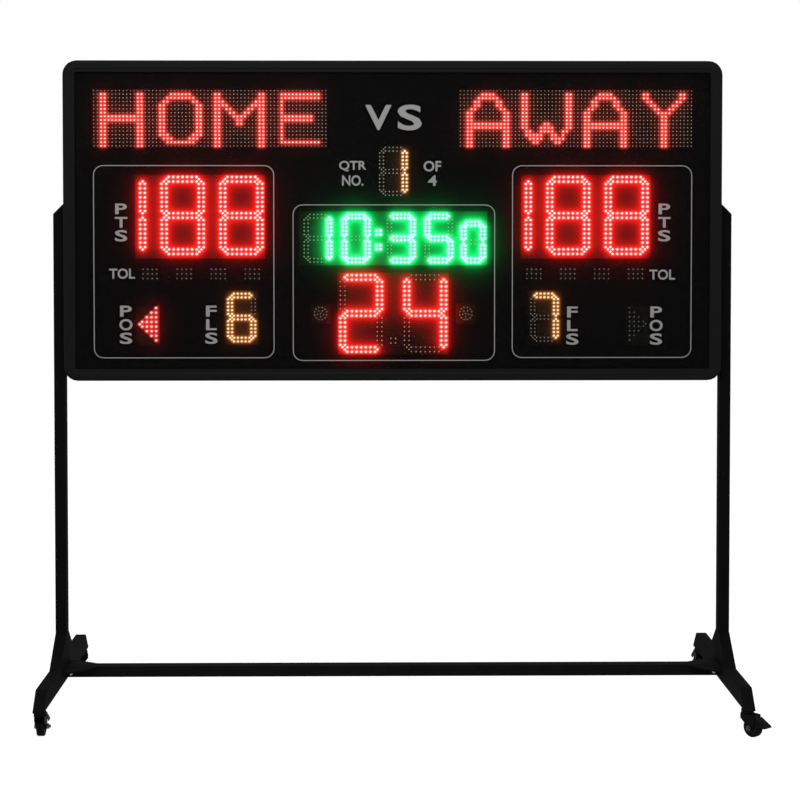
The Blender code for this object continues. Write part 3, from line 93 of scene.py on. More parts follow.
# Lamp boards: how far the lamp faces stand behind a module's rim, how deep the module's front goes, and its
# digits as lamps across and down a bar, and the pitch each way
BAR_SET_BACK = 1.0 * MM
FACE_SET_BACK = 2.5 * MM
FRONT_DEPTH = 4 * MM
ARROW_FLOOR = 0.3 * MM
LARGE_DIGIT = (7, 7, 12.6 * MM, 12.3 * MM)
SMALL_DIGIT = (5, 5, 10.5 * MM, 10.0 * MM)
TENTHS_DIGIT = (4, 4, 10.5 * MM, 10.0 * MM)
LAMP_PITCH = 12.6 * MM
MATRIX_PITCH = 10 * MM
MATRIX_COLUMNS = 64
MATRIX_ROWS = 16
LETTER_CELL = 16
STROKE_REACH = 0.8
SCORE_PLACES = (-156.5 * MM, -47.6 * MM, 111.9 * MM)
SCORE_RISE = 3 * MM
CLOCK_PLACES = (-205.6 * MM, -101.8 * MM, 21.4 * MM, 124.2 * MM)
TENTHS_PLACE = (217.8 * MM, -10 * MM)
COLON_PLACES = ((-40.2 * MM, 16 * MM), (-40.2 * MM, -24 * MM))
SHOT_PLACES = (-87.5 * MM, 87.5 * MM)
SHOT_POINT_DROP = 74.5 * MM
TIMEOUT_PITCH = 92.7 * MM
ARROW_COLUMNS = (8, 6, 4, 2)
RING_LAMPS = ((12, 17 * MM), (5, 8.4 * MM))
SIGNAL_SCALE = 0.75
DIGIT_BARS = ("abcdef", "bc", "abged", "abgcd", "fgbc", "afgcd", "acdefg", "abc", "abcdefg", "abcdfg", "")
BARS_LIT = dict(zip("0123456789 ", DIGIT_BARS))

# Matrix letters as strokes, in lamps from the cell's top left
LETTER_STROKES = {
    "A": [[(2.5, 14.5), (2.5, 6), (6, 1.5), (9, 1.5), (12.5, 6), (12.5, 14.5)], [(2.5, 9.5), (12.5, 9.5)]],
    "E": [[(12.5, 1.5), (3, 1.5), (3, 14), (12.5, 14)], [(3, 7.5), (11, 7.5)]],
    "H": [[(2.5, 1), (2.5, 14.5)], [(12.5, 1), (12.5, 14.5)], [(2.5, 7.5), (12.5, 7.5)]],
    "M": [[(1.5, 14.5), (1.5, 1.5), (7.5, 8.5), (13.5, 1.5), (13.5, 14.5)]],
    "O": [[(5, 1.5), (10, 1.5), (12.5, 4), (12.5, 11.5), (10, 14), (5, 14), (2.5, 11.5), (2.5, 4), (5, 1.5)]],
    "W": [[(1.5, 1), (1.5, 10), (4.5, 14), (7.5, 9), (10.5, 14), (13.5, 10), (13.5, 1)]],
    "Y": [[(2, 1), (7.5, 7.5), (13, 1)], [(7.5, 7.5), (7.5, 14.5)]],
}

# Glow: how far a lamp's light carries, the share of it that unlit lamps, the carrier and the signals take,
# and the grids that hold it
FAR_REACH = 32 * MM
HEAT_REACH = 5.4 * MM
GLOW_RADIUS = 0.25
GLOW_BLOCK = 1000
GLOW_LIMIT = 1.1
DARK_NEAR = 0.1
DARK_FAR = 0.2
PLATE_NEAR = 0.65
PLATE_FAR = 0.42
SIGNAL_FAR = 1.2
MODULE_GRID = 3.4 * MM
PLATE_GRID = 30 * MM
HALO_BAND = 34 * MM
HALO_GRID = 5 * MM
PRINT_GRID = 15 * MM

# Lamps against their nominal size, lit and unlit, and the painted halo round each lit one: a disc that glows
# as a bright ring of light
LIT_SCALE = 1.2
UNLIT_SCALE = 0.9
LAMP_SPREAD = 1.22
LAMP_BULGE = 0.5
RING_R = 5.8 * MM
RING_SCALE = 1.3
RING_SPREAD = 1.1
RING_LIFT = 0.1 * MM
RING_BASE = (0.003, 0.003, 0.003)

# Print: height of the ink, the letters' weight and fineness, and the three outlines as centre and size
INK = 0.12 * MM
LETTER_WEIGHT = 0.022
LETTER_STEPS = 4
OUTLINE_R = 27 * MM
OUTLINES = (
    (-0.569, 1.218, 0.491, 0.525),
    (0.569, 1.218, 0.491, 0.525),
    (0.002, 1.161, 0.551, 0.426),
)

# Labels: text, centre and size of the space each fills
LABELS = (
    ("V", -0.0403, 1.610, 0.072, 0.068),
    ("S", 0.0448, 1.610, 0.066, 0.070),
    ("QTR", -0.110, 1.478, 0.074, 0.029),
    ("NO.", -0.110, 1.439, 0.058, 0.029),
    ("OF", 0.1065, 1.478, 0.048, 0.029),
    ("4", 0.1065, 1.439, 0.024, 0.029),
    ("TOL", -0.737, 1.186, 0.070, 0.028),
    ("TOL", 0.734, 1.183, 0.070, 0.028),
)

# Labels that read downward: text, centre of the top letter, step down, and the size of each letter
POINTS_LETTERS = ((0.032, 0.029), (0.034, 0.029), (0.034, 0.031))
ARROW_LETTERS = ((0.032, 0.030), (0.036, 0.031), (0.034, 0.031))
FOUL_LETTERS = ((0.029, 0.030), (0.029, 0.030), (0.034, 0.031))
DOWNWARD_LABELS = (
    ("PTS", -0.739, 1.362, 0.0365, POINTS_LETTERS),
    ("PTS", 0.739, 1.362, 0.0365, POINTS_LETTERS),
    ("POS", -0.727, 1.084, 0.037, ARROW_LETTERS),
    ("POS", 0.718, 1.081, 0.037, ARROW_LETTERS),
    ("FLS", -0.495, 1.084, 0.037, FOUL_LETTERS),
    ("FLS", 0.489, 1.081, 0.037, FOUL_LETTERS),
)

# Softening: the angles in degrees below which faces merge, above which edges are rounded and above which they
# are shaded sharp, how far each kind of edge is rounded, and the gaps over which points are joined
FLAT_ANGLE = 0.6
EDGE_ANGLE = 38
SHADE_ANGLE = 50
FITTING_ANGLE = 40
BOLT_ANGLE = 35
COVER_EDGE = 0.15 * MM
STEM_EDGE = 0.2 * MM
INLET_EDGE = 0.25 * MM
SMALL_EDGE = 0.3 * MM
JOIN_GAP = 0.002 * MM
CUT_GAP = 0.001 * MM

# Colours of the finishes that have no setting
COVER_GREY = (0.008, 0.008, 0.009)
INLET_BLACK = (0.010, 0.010, 0.010)
ROCKER_RED = (0.42, 0.015, 0.010)
HORN_GREY = (0.07, 0.07, 0.08)
HUB_BLACK = (0.005, 0.005, 0.005)
PEDAL_BLACK = (0.0025, 0.0025, 0.0025)
ZINC = (0.50, 0.50, 0.48)
BOLT_ZINC = (0.22, 0.22, 0.21)
DARK_ZINC = (0.05, 0.05, 0.049)

# Rear: the cover's screws, the inlet's screws, and the blades of its socket with the middle one raised
SCREW_COLUMNS = 8
SCREW_ROWS = 4
SCREW_INSET = 11 * MM
SCREW_START = 30 * MM
INLET_SCREW_INSET = 4 * MM
BLADES = ((-5 * MM, -12.5 * MM), (0.0, -9 * MM), (5 * MM, -12.5 * MM))
BLADE_DEPTH = 12 * MM
BLADE_SIZE = (1.8 * MM, 9 * MM, 3.6 * MM, 1)
BLADE_EDGE = 0.3 * MM

# Stand: half the uprights' tube, the crossbar's top and bolts, the bolts of each bracket, and the weld beads
TUBE_HALF = 20 * MM
BAR_TOP = 107 * MM
BAR_BOLT_X = 885 * MM
BAR_BOLT_Z = 88 * MM
FLANGE = 3 * MM
FLANK_BOLT_DEPTH = 12.5 * MM
BRACKET_BOLT_INSET = 18 * MM
WELD_R = 1.7 * MM
WELD_STEP = 0.8
WELD_RIPPLE = 0.14
WELD_TAPER = 8
WELD_END = 0.3
CROSS_WELD_INSET = 3 * MM
LEG_WELD_INSET = 6 * MM
BAR_WELD_LOW = 4 * MM
BAR_WELD_HIGH = 2 * MM

# Casters: half of a wheel's section from the bore to the tread's groove, as radius and width in millimetres,
# and the radius outside which it is tyre
CORNERS = ("front_left", "front_right", "rear_left", "rear_right")
WHEEL_SECTION = (
    (4.3, 10.5), (7.5, 10.5), (8.3, 9.7), (8.3, 7.6), (16.4, 7.4), (17.2, 8.4), (17.6, 9.7), (18.5, 9.8),
    (21.8, 10.0), (23.7, 9.2), (24.7, 7.4), (25.0, 5.4), (25.0, 2.6), (24.3, 2.2), (24.3, 1.2), (25.0, 0.8),
)
WHEEL_STEPS = 48
TYRE_INSIDE = 18 * MM

# Studio: the floor's own light and how much of it the camera sees, where the lights aim, and each light's
# place, width and setting of its power
FLOOR_HALF = 30.0
FLOOR_GLOW = 1.17
FLOOR_SHARE = 0.78
SENSOR = 36
AIM = Vector((0, 0, 1.0))
PANELS = (
    ("key_panel", (-0.3, -1.6, 3.5), 2.4, "key"),
    ("left_panel", (-4.2, -2.6, 1.6), 2.4, "fill"),
    ("right_panel", (4.2, -2.6, 1.6), 2.4, "fill"),
    ("rear_panel", (0, 3.6, 3.0), 3.0, "fill"),
)

SIDES = (("left", -1), ("right", 1))
REARWARD = (0, 1, 0)
FORWARD = (0, -1, 0)
UPRIGHT_PLANE = Matrix.Rotation(math.radians(90), 4, "X")


class Head(NamedTuple):
    """A screw or bolt head, or a washer. Its rounding is a share of its height."""

    radius: float
    height: float
    sides: int
    rounding: float
    recess: float = 0.0


SOCKET_SHARE = 0.45
COVER_SCREW = Head(3.4 * MM, 1.9 * MM, 14, 0.45, 0.9 * MM)
INLET_SCREW = Head(2.2 * MM, 1.2 * MM, 12, 0.45, 0.6 * MM)
BRACKET_BOLT = (Head(5.6 * MM, 0.9 * MM, 20, 0.2), Head(4.6 * MM, 3.4 * MM, 6, 0.15))
BAR_BOLT = (Head(5.2 * MM, 0.9 * MM, 20, 0.2), Head(4.0 * MM, 3.0 * MM, 6, 0.15))


class LampSettings(PropertyGroup):
    """What the displays read, and the colours that their lamps give."""

    left_name: StringProperty(name="Left name", description="Word on the left matrix", default="HOME")
    right_name: StringProperty(name="Right name", description="Word on the right matrix", default="AWAY")
    left_score: StringProperty(name="Left score", description="Points of the left side", default="188")
    right_score: StringProperty(name="Right score", description="Points of the right side", default="188")
    clock: StringProperty(name="Game clock", description="Minutes and seconds", default="1035")
    tenths: StringProperty(name="Tenths", description="Tenths of a second", default="0")
    shot: StringProperty(name="Shot clock", description="Seconds left to shoot", default="24")
    period: StringProperty(name="Period", description="Number of the period", default="1")
    left_fouls: StringProperty(name="Left fouls", description="Fouls of the left side", default="6")
    right_fouls: StringProperty(name="Right fouls", description="Fouls of the right side", default="7")
    lamp_size: FloatProperty(
        name="Lamp size", description="Width of a digit's lamp", default=5 * MM, min=MM, unit="LENGTH"
    )
    matrix_lamp_size: FloatProperty(
        name="Matrix lamp size", description="Width of a matrix lamp", default=3.6 * MM, min=MM,
        unit="LENGTH",
    )
    unlit: FloatVectorProperty(
        name="Unlit lens", description="Colour of a lamp that is off", size=3, subtype="COLOR",
        default=(0.24, 0.23, 0.19),
    )
    strength: FloatProperty(
        name="Glow", description="Strength of the light round the lamps", default=1.0, min=0.0,
        subtype="FACTOR",
    )


class FinishSettings(PropertyGroup):
    """Colours of the frame, the stand and the print."""

    frame_color: FloatVectorProperty(
        name="Frame", description="Colour of the extrusion", size=3, subtype="COLOR",
        default=(0.0035, 0.0035, 0.0036),
    )
    stand_color: FloatVectorProperty(
        name="Stand", description="Colour of the powder coat", size=3, subtype="COLOR",
        default=(0.0025, 0.0025, 0.0027),
    )
    print_color: FloatVectorProperty(
        name="Print", description="Colour of the ink", size=3, subtype="COLOR", default=(0.13, 0.13, 0.127)
    )
    tint: FloatProperty(
        name="Glazing tint", description="How much the sheet darkens", default=0.07, min=0.0, max=1.0,
        subtype="FACTOR",
    )
    line_width: FloatProperty(
        name="Line width", description="Width of the printed outlines", default=2.4 * MM, min=MM,
        unit="LENGTH",
    )
    edge: FloatProperty(
        name="Edge softness", description="Rounding of the metal's edges", default=0.4 * MM, min=0.0,
        unit="LENGTH",
    )


class StageSettings(PropertyGroup):
    """Light and camera."""

    world: FloatProperty(
        name="Room light", description="Strength of the room's light", default=0.5, min=0.0
    )
    key: FloatProperty(
        name="Key light", description="Power of the overhead panel", default=118.0, min=0.0, unit="POWER"
    )
    fill: FloatProperty(
        name="Fill lights", description="Power of each side panel", default=60.0, min=0.0, unit="POWER"
    )
    lens: FloatProperty(name="Lens", description="Focal length", default=80.59, min=10.0, unit="CAMERA")
    place: FloatVectorProperty(
        name="Camera", description="Where the camera stands", size=3, subtype="TRANSLATION",
        default=(-0.0642, -4.9109, 1.3025),
    )
    pitch: FloatProperty(
        name="Pitch", description="How far the camera looks down", default=math.radians(1.83),
        subtype="ANGLE",
    )
    yaw: FloatProperty(
        name="Yaw", description="How far the camera looks to its right", default=math.radians(0.726),
        subtype="ANGLE",
    )
    rise: FloatProperty(name="Rise", description="Upward shift of the picture on the lens", default=-0.14)
    slide: FloatProperty(name="Slide", description="Sideways shift of the picture", default=0.0096)


class ScoreboardSettings(PropertyGroup):
    """All the settings of the dressing."""

    lamps: PointerProperty(type=LampSettings, name="Lamps", description="What the displays show")
    finish: PointerProperty(type=FinishSettings, name="Finish", description="Colours and tints")
    stage: PointerProperty(type=StageSettings, name="Stage", description="Light and camera")


class Wire:
    """A socket that shader sums can be written with."""

    def __init__(self, nodes, socket):
        self.nodes = nodes
        self.socket = socket

    def sum(self, operation, *terms):
        """A Math node on the terms."""
        return self.nodes.node("Math", {"operation": operation}, dict(enumerate(terms)))

    def __add__(self, other):
        return self.sum("ADD", self, other)

    def __sub__(self, other):
        return self.sum("SUBTRACT", self, other)

    def __mul__(self, other):
        return self.sum("MULTIPLY", self, other)

    def __rsub__(self, other):
        return self.sum("SUBTRACT", other, self)

    __radd__ = __add__
    __rmul__ = __mul__

    def band(self, low, high):
        """0 below low and 1 above high."""
        settings = {"interpolation_type": "SMOOTHSTEP"}
        return self.nodes.node("MapRange", settings, {"Value": self, "From Min": low, "From Max": high})


class Nodes:
    """The node tree of a material or the world, and a method that adds any node to it."""

    def __init__(self, owner):
        owner.use_nodes = True
        self.tree = owner.node_tree

    def feed(self, value, socket):
        """Link a wire to a socket, or set the socket to a plain value."""
        if isinstance(value, Wire):
            self.tree.links.new(value.socket, socket)
        else:
            socket.default_value = value

    def node(self, kind, settings=None, inputs=None, output=0):
        """Add a node, set it up, feed its sockets, and return one output."""
        made = self.tree.nodes.new(f"ShaderNode{kind}")
        for key, value in (settings or {}).items():
            setattr(made, key, value)
        for key, value in (inputs or {}).items():
            self.feed(value, made.inputs[key])
        return Wire(self, made.outputs[output])

    def seen(self):
        """1 for rays that the camera sees, straight, mirrored or through a sheet."""
        outputs = self.node("LightPath").socket.node.outputs
        names = ("Is Camera Ray", "Is Glossy Ray", "Is Transmission Ray")
        straight, mirrored, through = [Wire(self, outputs[name]) for name in names]
        total = straight + mirrored + through
        return total.sum("MINIMUM", total, 1.0)


class Finish(Nodes):
    """One material, built on a Principled shader."""

    def __init__(self, name, specular=0.5, metallic=0.0):
        self.material = bpy.data.materials.new(name)
        super().__init__(self.material)
        self.shader = self.tree.nodes["Principled BSDF"]
        self.output = self.tree.nodes["Material Output"]
        self.set("Metallic", metallic)
        self.set("Specular IOR Level", specular)
        self.place = self.node("TexCoord", output="Object")

    def set(self, name, value):
        """Set or link a socket of the shader."""
        self.feed(value, self.shader.inputs[name])

    def surface(self, color, roughness):
        """Give the shader its colour and its roughness."""
        self.set("Base Color", (*color, 1.0) if isinstance(color, tuple) else color)
        self.set("Roughness", roughness)

    def noise(self, scale, detail=2.0, stretch=None):
        """Noise from -0.5 to 0.5, finer with scale, and stretched along an axis where asked."""
        place = self.place
        if stretch:
            place = self.node("Mapping", None, {"Vector": place, "Scale": stretch})
        inputs = {"Vector": place, "Scale": scale, "Detail": detail}
        return self.node("TexNoise", None, inputs) - 0.5

    def height(self):
        """The height above the floor."""
        return self.node("SeparateXYZ", None, {0: self.place}, output="Z")

    def mix(self, factor, first, second):
        """One colour over another."""
        inputs = {0: factor, 6: (*first, 1.0), 7: (*second, 1.0)}
        return self.node("Mix", {"data_type": "RGBA"}, inputs, output=2)

    def attribute(self, name):
        """A colour that is kept on the vertices."""
        return self.node("Attribute", {"attribute_name": name}, output="Color")

    def bump(self, height, distance):
        """Raise the surface where the height is more, by the distance in metres."""
        self.set("Normal", self.node("Bump", None, {"Height": height, "Distance": distance}))

    def glow(self):
        """The light that lamps throw on this surface, kept on its vertices."""
        self.material.cycles.emission_sampling = "NONE"
        self.set("Emission Color", self.attribute("glow"))
        self.set("Emission Strength", 1.0)


def coated(name, color, roughness, grain, specular):
    """A powder coat: orange peel, faint clouding, scuffs, and dust that thickens near the floor."""
    finish = Finish(name, specular)
    cloud = finish.noise(7, 4)
    scuff = finish.noise(160, 6, (1, 1, 0.25)).band(0.12, 0.22)
    low = 1 - finish.height().band(0.02, 0.22)
    dust = (finish.noise(30, 5) + 0.5) * low * 0.35
    pale = tuple(min(1.0, c * 2.0 + 0.006) for c in color)
    wear = cloud * 0.16 + scuff * 0.12 + dust * 0.3
    finish.surface(finish.mix(scuff * 0.25 + dust, color, pale), wear + roughness)
    finish.bump(finish.noise(grain, 3), 0.00006)
    return finish.material


def anodised(color):
    """Satin black extrusion with a fine brushed grain and handling marks."""
    finish = Finish("anodised_black", 0.03)
    grain = finish.noise(60, 3, (1, 40, 1)) + finish.noise(60, 3, (1, 40, 40)) * 0.6
    mark = finish.noise(22, 5).band(0.16, 0.3)
    pale = tuple(c * 1.7 + 0.002 for c in color)
    finish.surface(finish.mix(mark * 0.5, color, pale), grain * 0.10 + mark * 0.10 + 0.46)
    finish.bump(grain, 0.00002)
    return finish.material


def smoked_sheet(tint):
    """Tinted glossy sheet: mostly clear, with a faint haze of wiped dust."""
    finish = Finish("smoked_sheet", 0.03)
    smear = finish.noise(4, 5, (1, 1, 2.4)).band(0.02, 0.3)
    dust = finish.noise(90, 5).band(0.12, 0.3)
    color = finish.mix(smear, (0.0007, 0.0007, 0.0007), (0.0022, 0.0022, 0.0022))
    finish.surface(color, smear * 0.03 + dust * 0.02 + 0.05)
    finish.set("Alpha", smear * 0.03 + tint)
    return finish.material


def carrier_black():
    """Matt black plate, lit by the displays round its windows."""
    finish = Finish("carrier_black", 0.01)
    finish.surface((0.0019, 0.0019, 0.0019), finish.noise(40, 3) * 0.15 + 0.6)
    finish.bump(finish.noise(400), 0.00002)
    finish.glow()
    return finish.material


def lamp_board():
    """Dark lamp board with a printed mask, lit by its own lamps."""
    finish = Finish("lamp_board", 0.02)
    tone = finish.noise(55, 4).band(-0.2, 0.3)
    color = finish.mix(tone, (0.0022, 0.0023, 0.0018), (0.005, 0.005, 0.004))
    finish.surface(color, tone * 0.2 + 0.5)
    finish.bump(finish.noise(900), 0.00004)
    finish.glow()
    return finish.material


def lamp_lens():
    """Cast resin lens: clear grey when off, and its own light when on."""
    finish = Finish("lamp_lens")
    finish.surface(finish.attribute("lens"), finish.noise(700) * 0.15 + 0.25)
    finish.glow()
    return finish.material


def ink(color):
    """Screen ink with pinholes and slightly uneven cover."""
    finish = Finish("screen_ink", 0.3)
    thin = finish.noise(420, 4).band(0.08, 0.3)
    finish.surface(finish.mix(thin * 0.6, color, tuple(c * 0.72 for c in color)), thin * 0.2 + 0.5)
    finish.glow()
    return finish.material


def plated(name, color):
    """Zinc plate: mottled, duller where handled."""
    finish = Finish(name, metallic=1.0)
    spangle = finish.noise(260, 3)
    dull = finish.noise(60, 4).band(0.0, 0.3)
    shade = finish.mix(dull, color, tuple(c * 0.55 for c in color))
    finish.surface(shade, spangle * 0.25 + dull * 0.2 + 0.28)
    finish.bump(spangle, 0.00003)
    return finish.material


def tread_rubber():
    """Dark rubber with floor dust on it and fine scuffs."""
    finish = Finish("tread_rubber", 0.02)
    dust = finish.noise(190, 6).band(0.0, 0.3)
    color = finish.mix(dust * 0.6, (0.003, 0.003, 0.0027), (0.014, 0.012, 0.010))
    finish.surface(color, dust * 0.2 + 0.66)
    finish.bump(finish.noise(1500, 4), 0.00008)
    return finish.material


def moulded(name, color, roughness, specular):
    """Moulded plastic with a fine spark-eroded grain and shiny rubbed spots."""
    finish = Finish(name, specular)
    rub = finish.noise(70, 4).band(0.05, 0.3)
    shade = finish.mix(rub * 0.4, color, tuple(c * 1.5 + 0.002 for c in color))
    finish.surface(shade, roughness - rub * 0.14)
    finish.bump(finish.noise(2600), 0.00004)
    return finish.material


def bright_sheet():
    """Bare aluminium sheet with rolling marks."""
    finish = Finish("bright_sheet", metallic=1.0)
    roll = finish.noise(30, 4, (1, 1, 60))
    finish.surface((0.62, 0.63, 0.64), roll * 0.2 + 0.34)
    finish.bump(roll, 0.00003)
    return finish.material


def circuit():
    """Green solder mask with copper runs under it."""
    finish = Finish("circuit")
    settings = {"distance": "CHEBYCHEV", "feature": "F1"}
    cell = finish.node("TexVoronoi", settings, {"Vector": finish.place, "Scale": 180})
    run = cell.band(0.44, 0.5)
    finish.surface(finish.mix(run, (0.010, 0.085, 0.030), (0.030, 0.19, 0.07)), run * 0.15 + 0.3)
    finish.bump(run, 0.00003)
    return finish.material


def paint_piece(node, material):
    """Give a node its material, in place of what it has."""
    materials = frame["nodes"][node].data.materials
    materials.clear()
    materials.append(material)


def new_object(name, data):
    """An object in the scene that holds the data."""
    made = bpy.data.objects.new(name, data)
    bpy.context.scene.collection.objects.link(made)
    return made


def mesh_of(name, bm):
    """A mesh of what a bmesh holds, which is then given up."""
    mesh = bpy.data.meshes.new(name)
    bm.to_mesh(mesh)
    bm.free()
    return mesh


def pour(bm, mesh):
    """Add a mesh to a bmesh and give the mesh up."""
    bm.from_mesh(mesh)
    bpy.data.meshes.remove(mesh)


def finish_piece(name, bm, body, material, slot, replaces=(), smooth=None):
    """Make an object of a bmesh, in its place, riding on a body."""
    mesh = mesh_of(name, bm)
    piece = new_object(name, mesh)
    for each in material if isinstance(material, tuple) else (material,):
        mesh.materials.append(each)
    if smooth is not None:
        mesh.shade_smooth()
        mesh.set_sharp_from_angle(angle=math.radians(smooth))
    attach(piece, body)
    if replaces:
        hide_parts(*replaces)
    return piece


def stand_in(node, name, bm, material, smooth=None):
    """A piece that takes a node's place and body."""
    return finish_piece(name, bm, body_of(node), material, slot_of(node), (node,), smooth)


def merge(bm, gap=CUT_GAP):
    """Join the points of a bmesh that lie together."""
    bmesh.ops.remove_doubles(bm, verts=bm.verts, dist=gap)


def merged(node):
    """A copy of a node's mesh with its loose triangles joined."""
    bm = bmesh.new()
    bm.from_mesh(frame["nodes"][node].data)
    merge(bm, JOIN_GAP)
    return bm


def facing_front(bm):
    """The faces of a bmesh that face the viewer."""
    return [face for face in bm.faces if face.normal.y < -0.5]


def body_of(node):
    """The body that a node belongs to."""
    return frame["nodes"][node]["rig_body"]


def slot_of(node):
    """The record's material slot of a node."""
    for part in frame["record"]["subparts"]:
        if part["node"] == node:
            return part["material_slot"]
    return None


def softened(node, material, edge):
    """Stand a copy in for a node, with its edges rounded and its curves smooth."""
    bm = merged(node)
    bmesh.ops.dissolve_limit(bm, angle_limit=math.radians(FLAT_ANGLE), verts=bm.verts, edges=bm.edges)
    sharp = [e for e in bm.edges if e.is_manifold and e.calc_face_angle() > math.radians(EDGE_ANGLE)]
    if edge > 0:
        bmesh.ops.bevel(
            bm, geom=sharp, offset=edge, offset_type="OFFSET", segments=2, profile=0.5,
            affect="EDGES", material=-1, clamp_overlap=True,
        )
    piece = stand_in(node, f"{node}_skin", bm, material, SHADE_ANGLE)
    weigh = piece.modifiers.new("flat faces", "WEIGHTED_NORMAL")
    weigh.keep_sharp = True


def strip_cut(bm, faces, axis, stops):
    """Cut faces square to an axis at each stop, halving the work each time."""
    if not faces or not stops:
        return faces
    middle = len(stops) // 2
    at = stops[middle]
    normal = Vector([float(axis == side) for side in range(3)])
    geom = faces + list({e for f in faces for e in f.edges}) + list({v for f in faces for v in f.verts})
    cut = bmesh.ops.bisect_plane(bm, geom=geom, dist=CUT_GAP, plane_co=normal * at, plane_no=normal)
    whole = [part for part in cut["geom"] if isinstance(part, bmesh.types.BMFace)]
    below = [f for f in whole if f.calc_center_median()[axis] < at]
    above = [f for f in whole if f.calc_center_median()[axis] >= at]
    return strip_cut(bm, below, axis, stops[:middle]) + strip_cut(bm, above, axis, stops[middle + 1 :])


def grid_cut(bm, faces, step):
    """Cut faces along an even grid of planes across X and Z."""
    for axis in (0, 2):
        low = min(v.co[axis] for f in faces for v in f.verts)
        high = max(v.co[axis] for f in faces for v in f.verts)
        count = int((high - low) / step) + 1
        faces = strip_cut(bm, faces, axis, [low + (high - low) * i / count for i in range(1, count)])


def bar_lamps(x, z, count, along, across, upright):
    """Lamps of one bar: two rows, and one more at each pointed end."""
    places = [((i - (count - 1) / 2) * along, side * across / 2) for i in range(count) for side in (-1, 1)]
    places += [(-count / 2 * along, 0), (count / 2 * along, 0)]
    if upright:
        places = [(b, a) for a, b in places]
    return [(x + a, z + b) for a, b in places]


def digit_lamps(x, z, kind, text, bars="abcdefg"):
    """Every lamp of a digit, with whether it is lit."""
    across, down, pitch_x, pitch_z = kind
    side = (across + 1) / 2 * pitch_x
    storey = (down + 1) * pitch_z
    places = {
        "a": (0, storey, False),
        "b": (side, storey / 2, True),
        "c": (side, -storey / 2, True),
        "d": (0, -storey, False),
        "e": (-side, -storey / 2, True),
        "f": (-side, storey / 2, True),
        "g": (0, 0, False),
    }
    lamps = []
    for bar in bars:
        dx, dz, upright = places[bar]
        count, along, wide = (down, pitch_z, pitch_x) if upright else (across, pitch_x, pitch_z)
        lit = bar in BARS_LIT[text]
        lamps += [(px, pz, lit) for px, pz in bar_lamps(x + dx, z + dz, count, along, wide, upright)]
    return lamps


def block_lamps(x, z, columns, rows, pitch, lit):
    """A plain block of lamps."""
    lamps = []
    for column in range(columns):
        for row in range(rows):
            dx = (column - (columns - 1) / 2) * pitch
            dz = (row - (rows - 1) / 2) * pitch
            lamps.append((x + dx, z + dz, lit))
    return lamps


def stroke_distance(point, strokes):
    """How far a lamp is from the nearest stroke of a letter."""
    nearest = math.inf
    for stroke in strokes:
        for start, end in zip(stroke, stroke[1:]):
            a, b, p = Vector(start), Vector(end), Vector(point)
            run = b - a
            share = max(0.0, min(1.0, (p - a).dot(run) / run.length_squared))
            nearest = min(nearest, (a + run * share - p).length)
    return nearest


def word_lamps(x, z, word):
    """A matrix of lamps that spells a word of four letters."""
    lamps = []
    for column in range(MATRIX_COLUMNS):
        letter = word[column // LETTER_CELL : column // LETTER_CELL + 1]
        strokes = LETTER_STROKES.get(letter, [])
        for row in range(MATRIX_ROWS):
            dx = (column - (MATRIX_COLUMNS - 1) / 2) * MATRIX_PITCH
            dz = ((MATRIX_ROWS - 1) / 2 - row) * MATRIX_PITCH
            lit = stroke_distance((column % LETTER_CELL, row), strokes) < STROKE_REACH
            lamps.append((x + dx, z + dz, lit))
    return lamps


def score_lamps(x, z, text):
    """Two whole digits, with one upright bar before them for the hundreds."""
    score = text.rjust(3)
    z += SCORE_RISE
    half = (LARGE_DIGIT[0] + 1) / 2 * LARGE_DIGIT[2]
    lamps = digit_lamps(x + SCORE_PLACES[0] - half, z, LARGE_DIGIT, score[0], "bc")
    for place, digit in zip(SCORE_PLACES[1:], score[1:]):
        lamps += digit_lamps(x + place, z, LARGE_DIGIT, digit)
    return lamps


def clock_lamps(x, z, text, tenths):
    """Four digits, a smaller one for the tenths, and the colon."""
    lamps = digit_lamps(x + TENTHS_PLACE[0], z + TENTHS_PLACE[1], TENTHS_DIGIT, tenths)
    for place, digit in zip(CLOCK_PLACES, text.rjust(4)):
        lamps += digit_lamps(x + place, z, SMALL_DIGIT, digit)
    for dx, dz in COLON_PLACES:
        lamps += block_lamps(x + dx, z + dz, 2, 2, SMALL_DIGIT[2], True)
    return lamps


def shot_lamps(x, z, text):
    """Two large digits, with an unlit point between them."""
    lamps = block_lamps(x, z - SHOT_POINT_DROP, 2, 2, LAMP_PITCH, False)
    for place, digit in zip(SHOT_PLACES, text.rjust(2)):
        lamps += digit_lamps(x + place, z, LARGE_DIGIT, digit)
    return lamps


def timeout_lamps(x, z):
    """Four unlit blocks in a row."""
    places = [x + (block - 1.5) * TIMEOUT_PITCH for block in range(4)]
    return [lamp for place in places for lamp in block_lamps(place, z, 4, 3, LAMP_PITCH, False)]


def arrow_lamps(x, z, sign):
    """Lamps of an arrow head that points outward, of which the left one is lit."""
    lit = sign < 0
    lamps = []
    start = -(len(ARROW_COLUMNS) - 0.5) / 2
    for index, count in enumerate(ARROW_COLUMNS):
        for row in range(count):
            dx = sign * (start + index) * LAMP_PITCH
            lamps.append((x + dx, z + (row - (count - 1) / 2) * LAMP_PITCH, lit))
    lamps.append((x + sign * (start + len(ARROW_COLUMNS) - 0.5) * LAMP_PITCH, z, lit))
    return lamps


def ring_lamps(x, z):
    """Lamps of a round signal, all off."""
    lamps = [(x, z, False)]
    for count, radius in RING_LAMPS:
        for index in range(count):
            angle = math.tau * (index + 0.5) / count
            lamps.append((x + radius * math.sin(angle), z + radius * math.cos(angle), False))
    return lamps


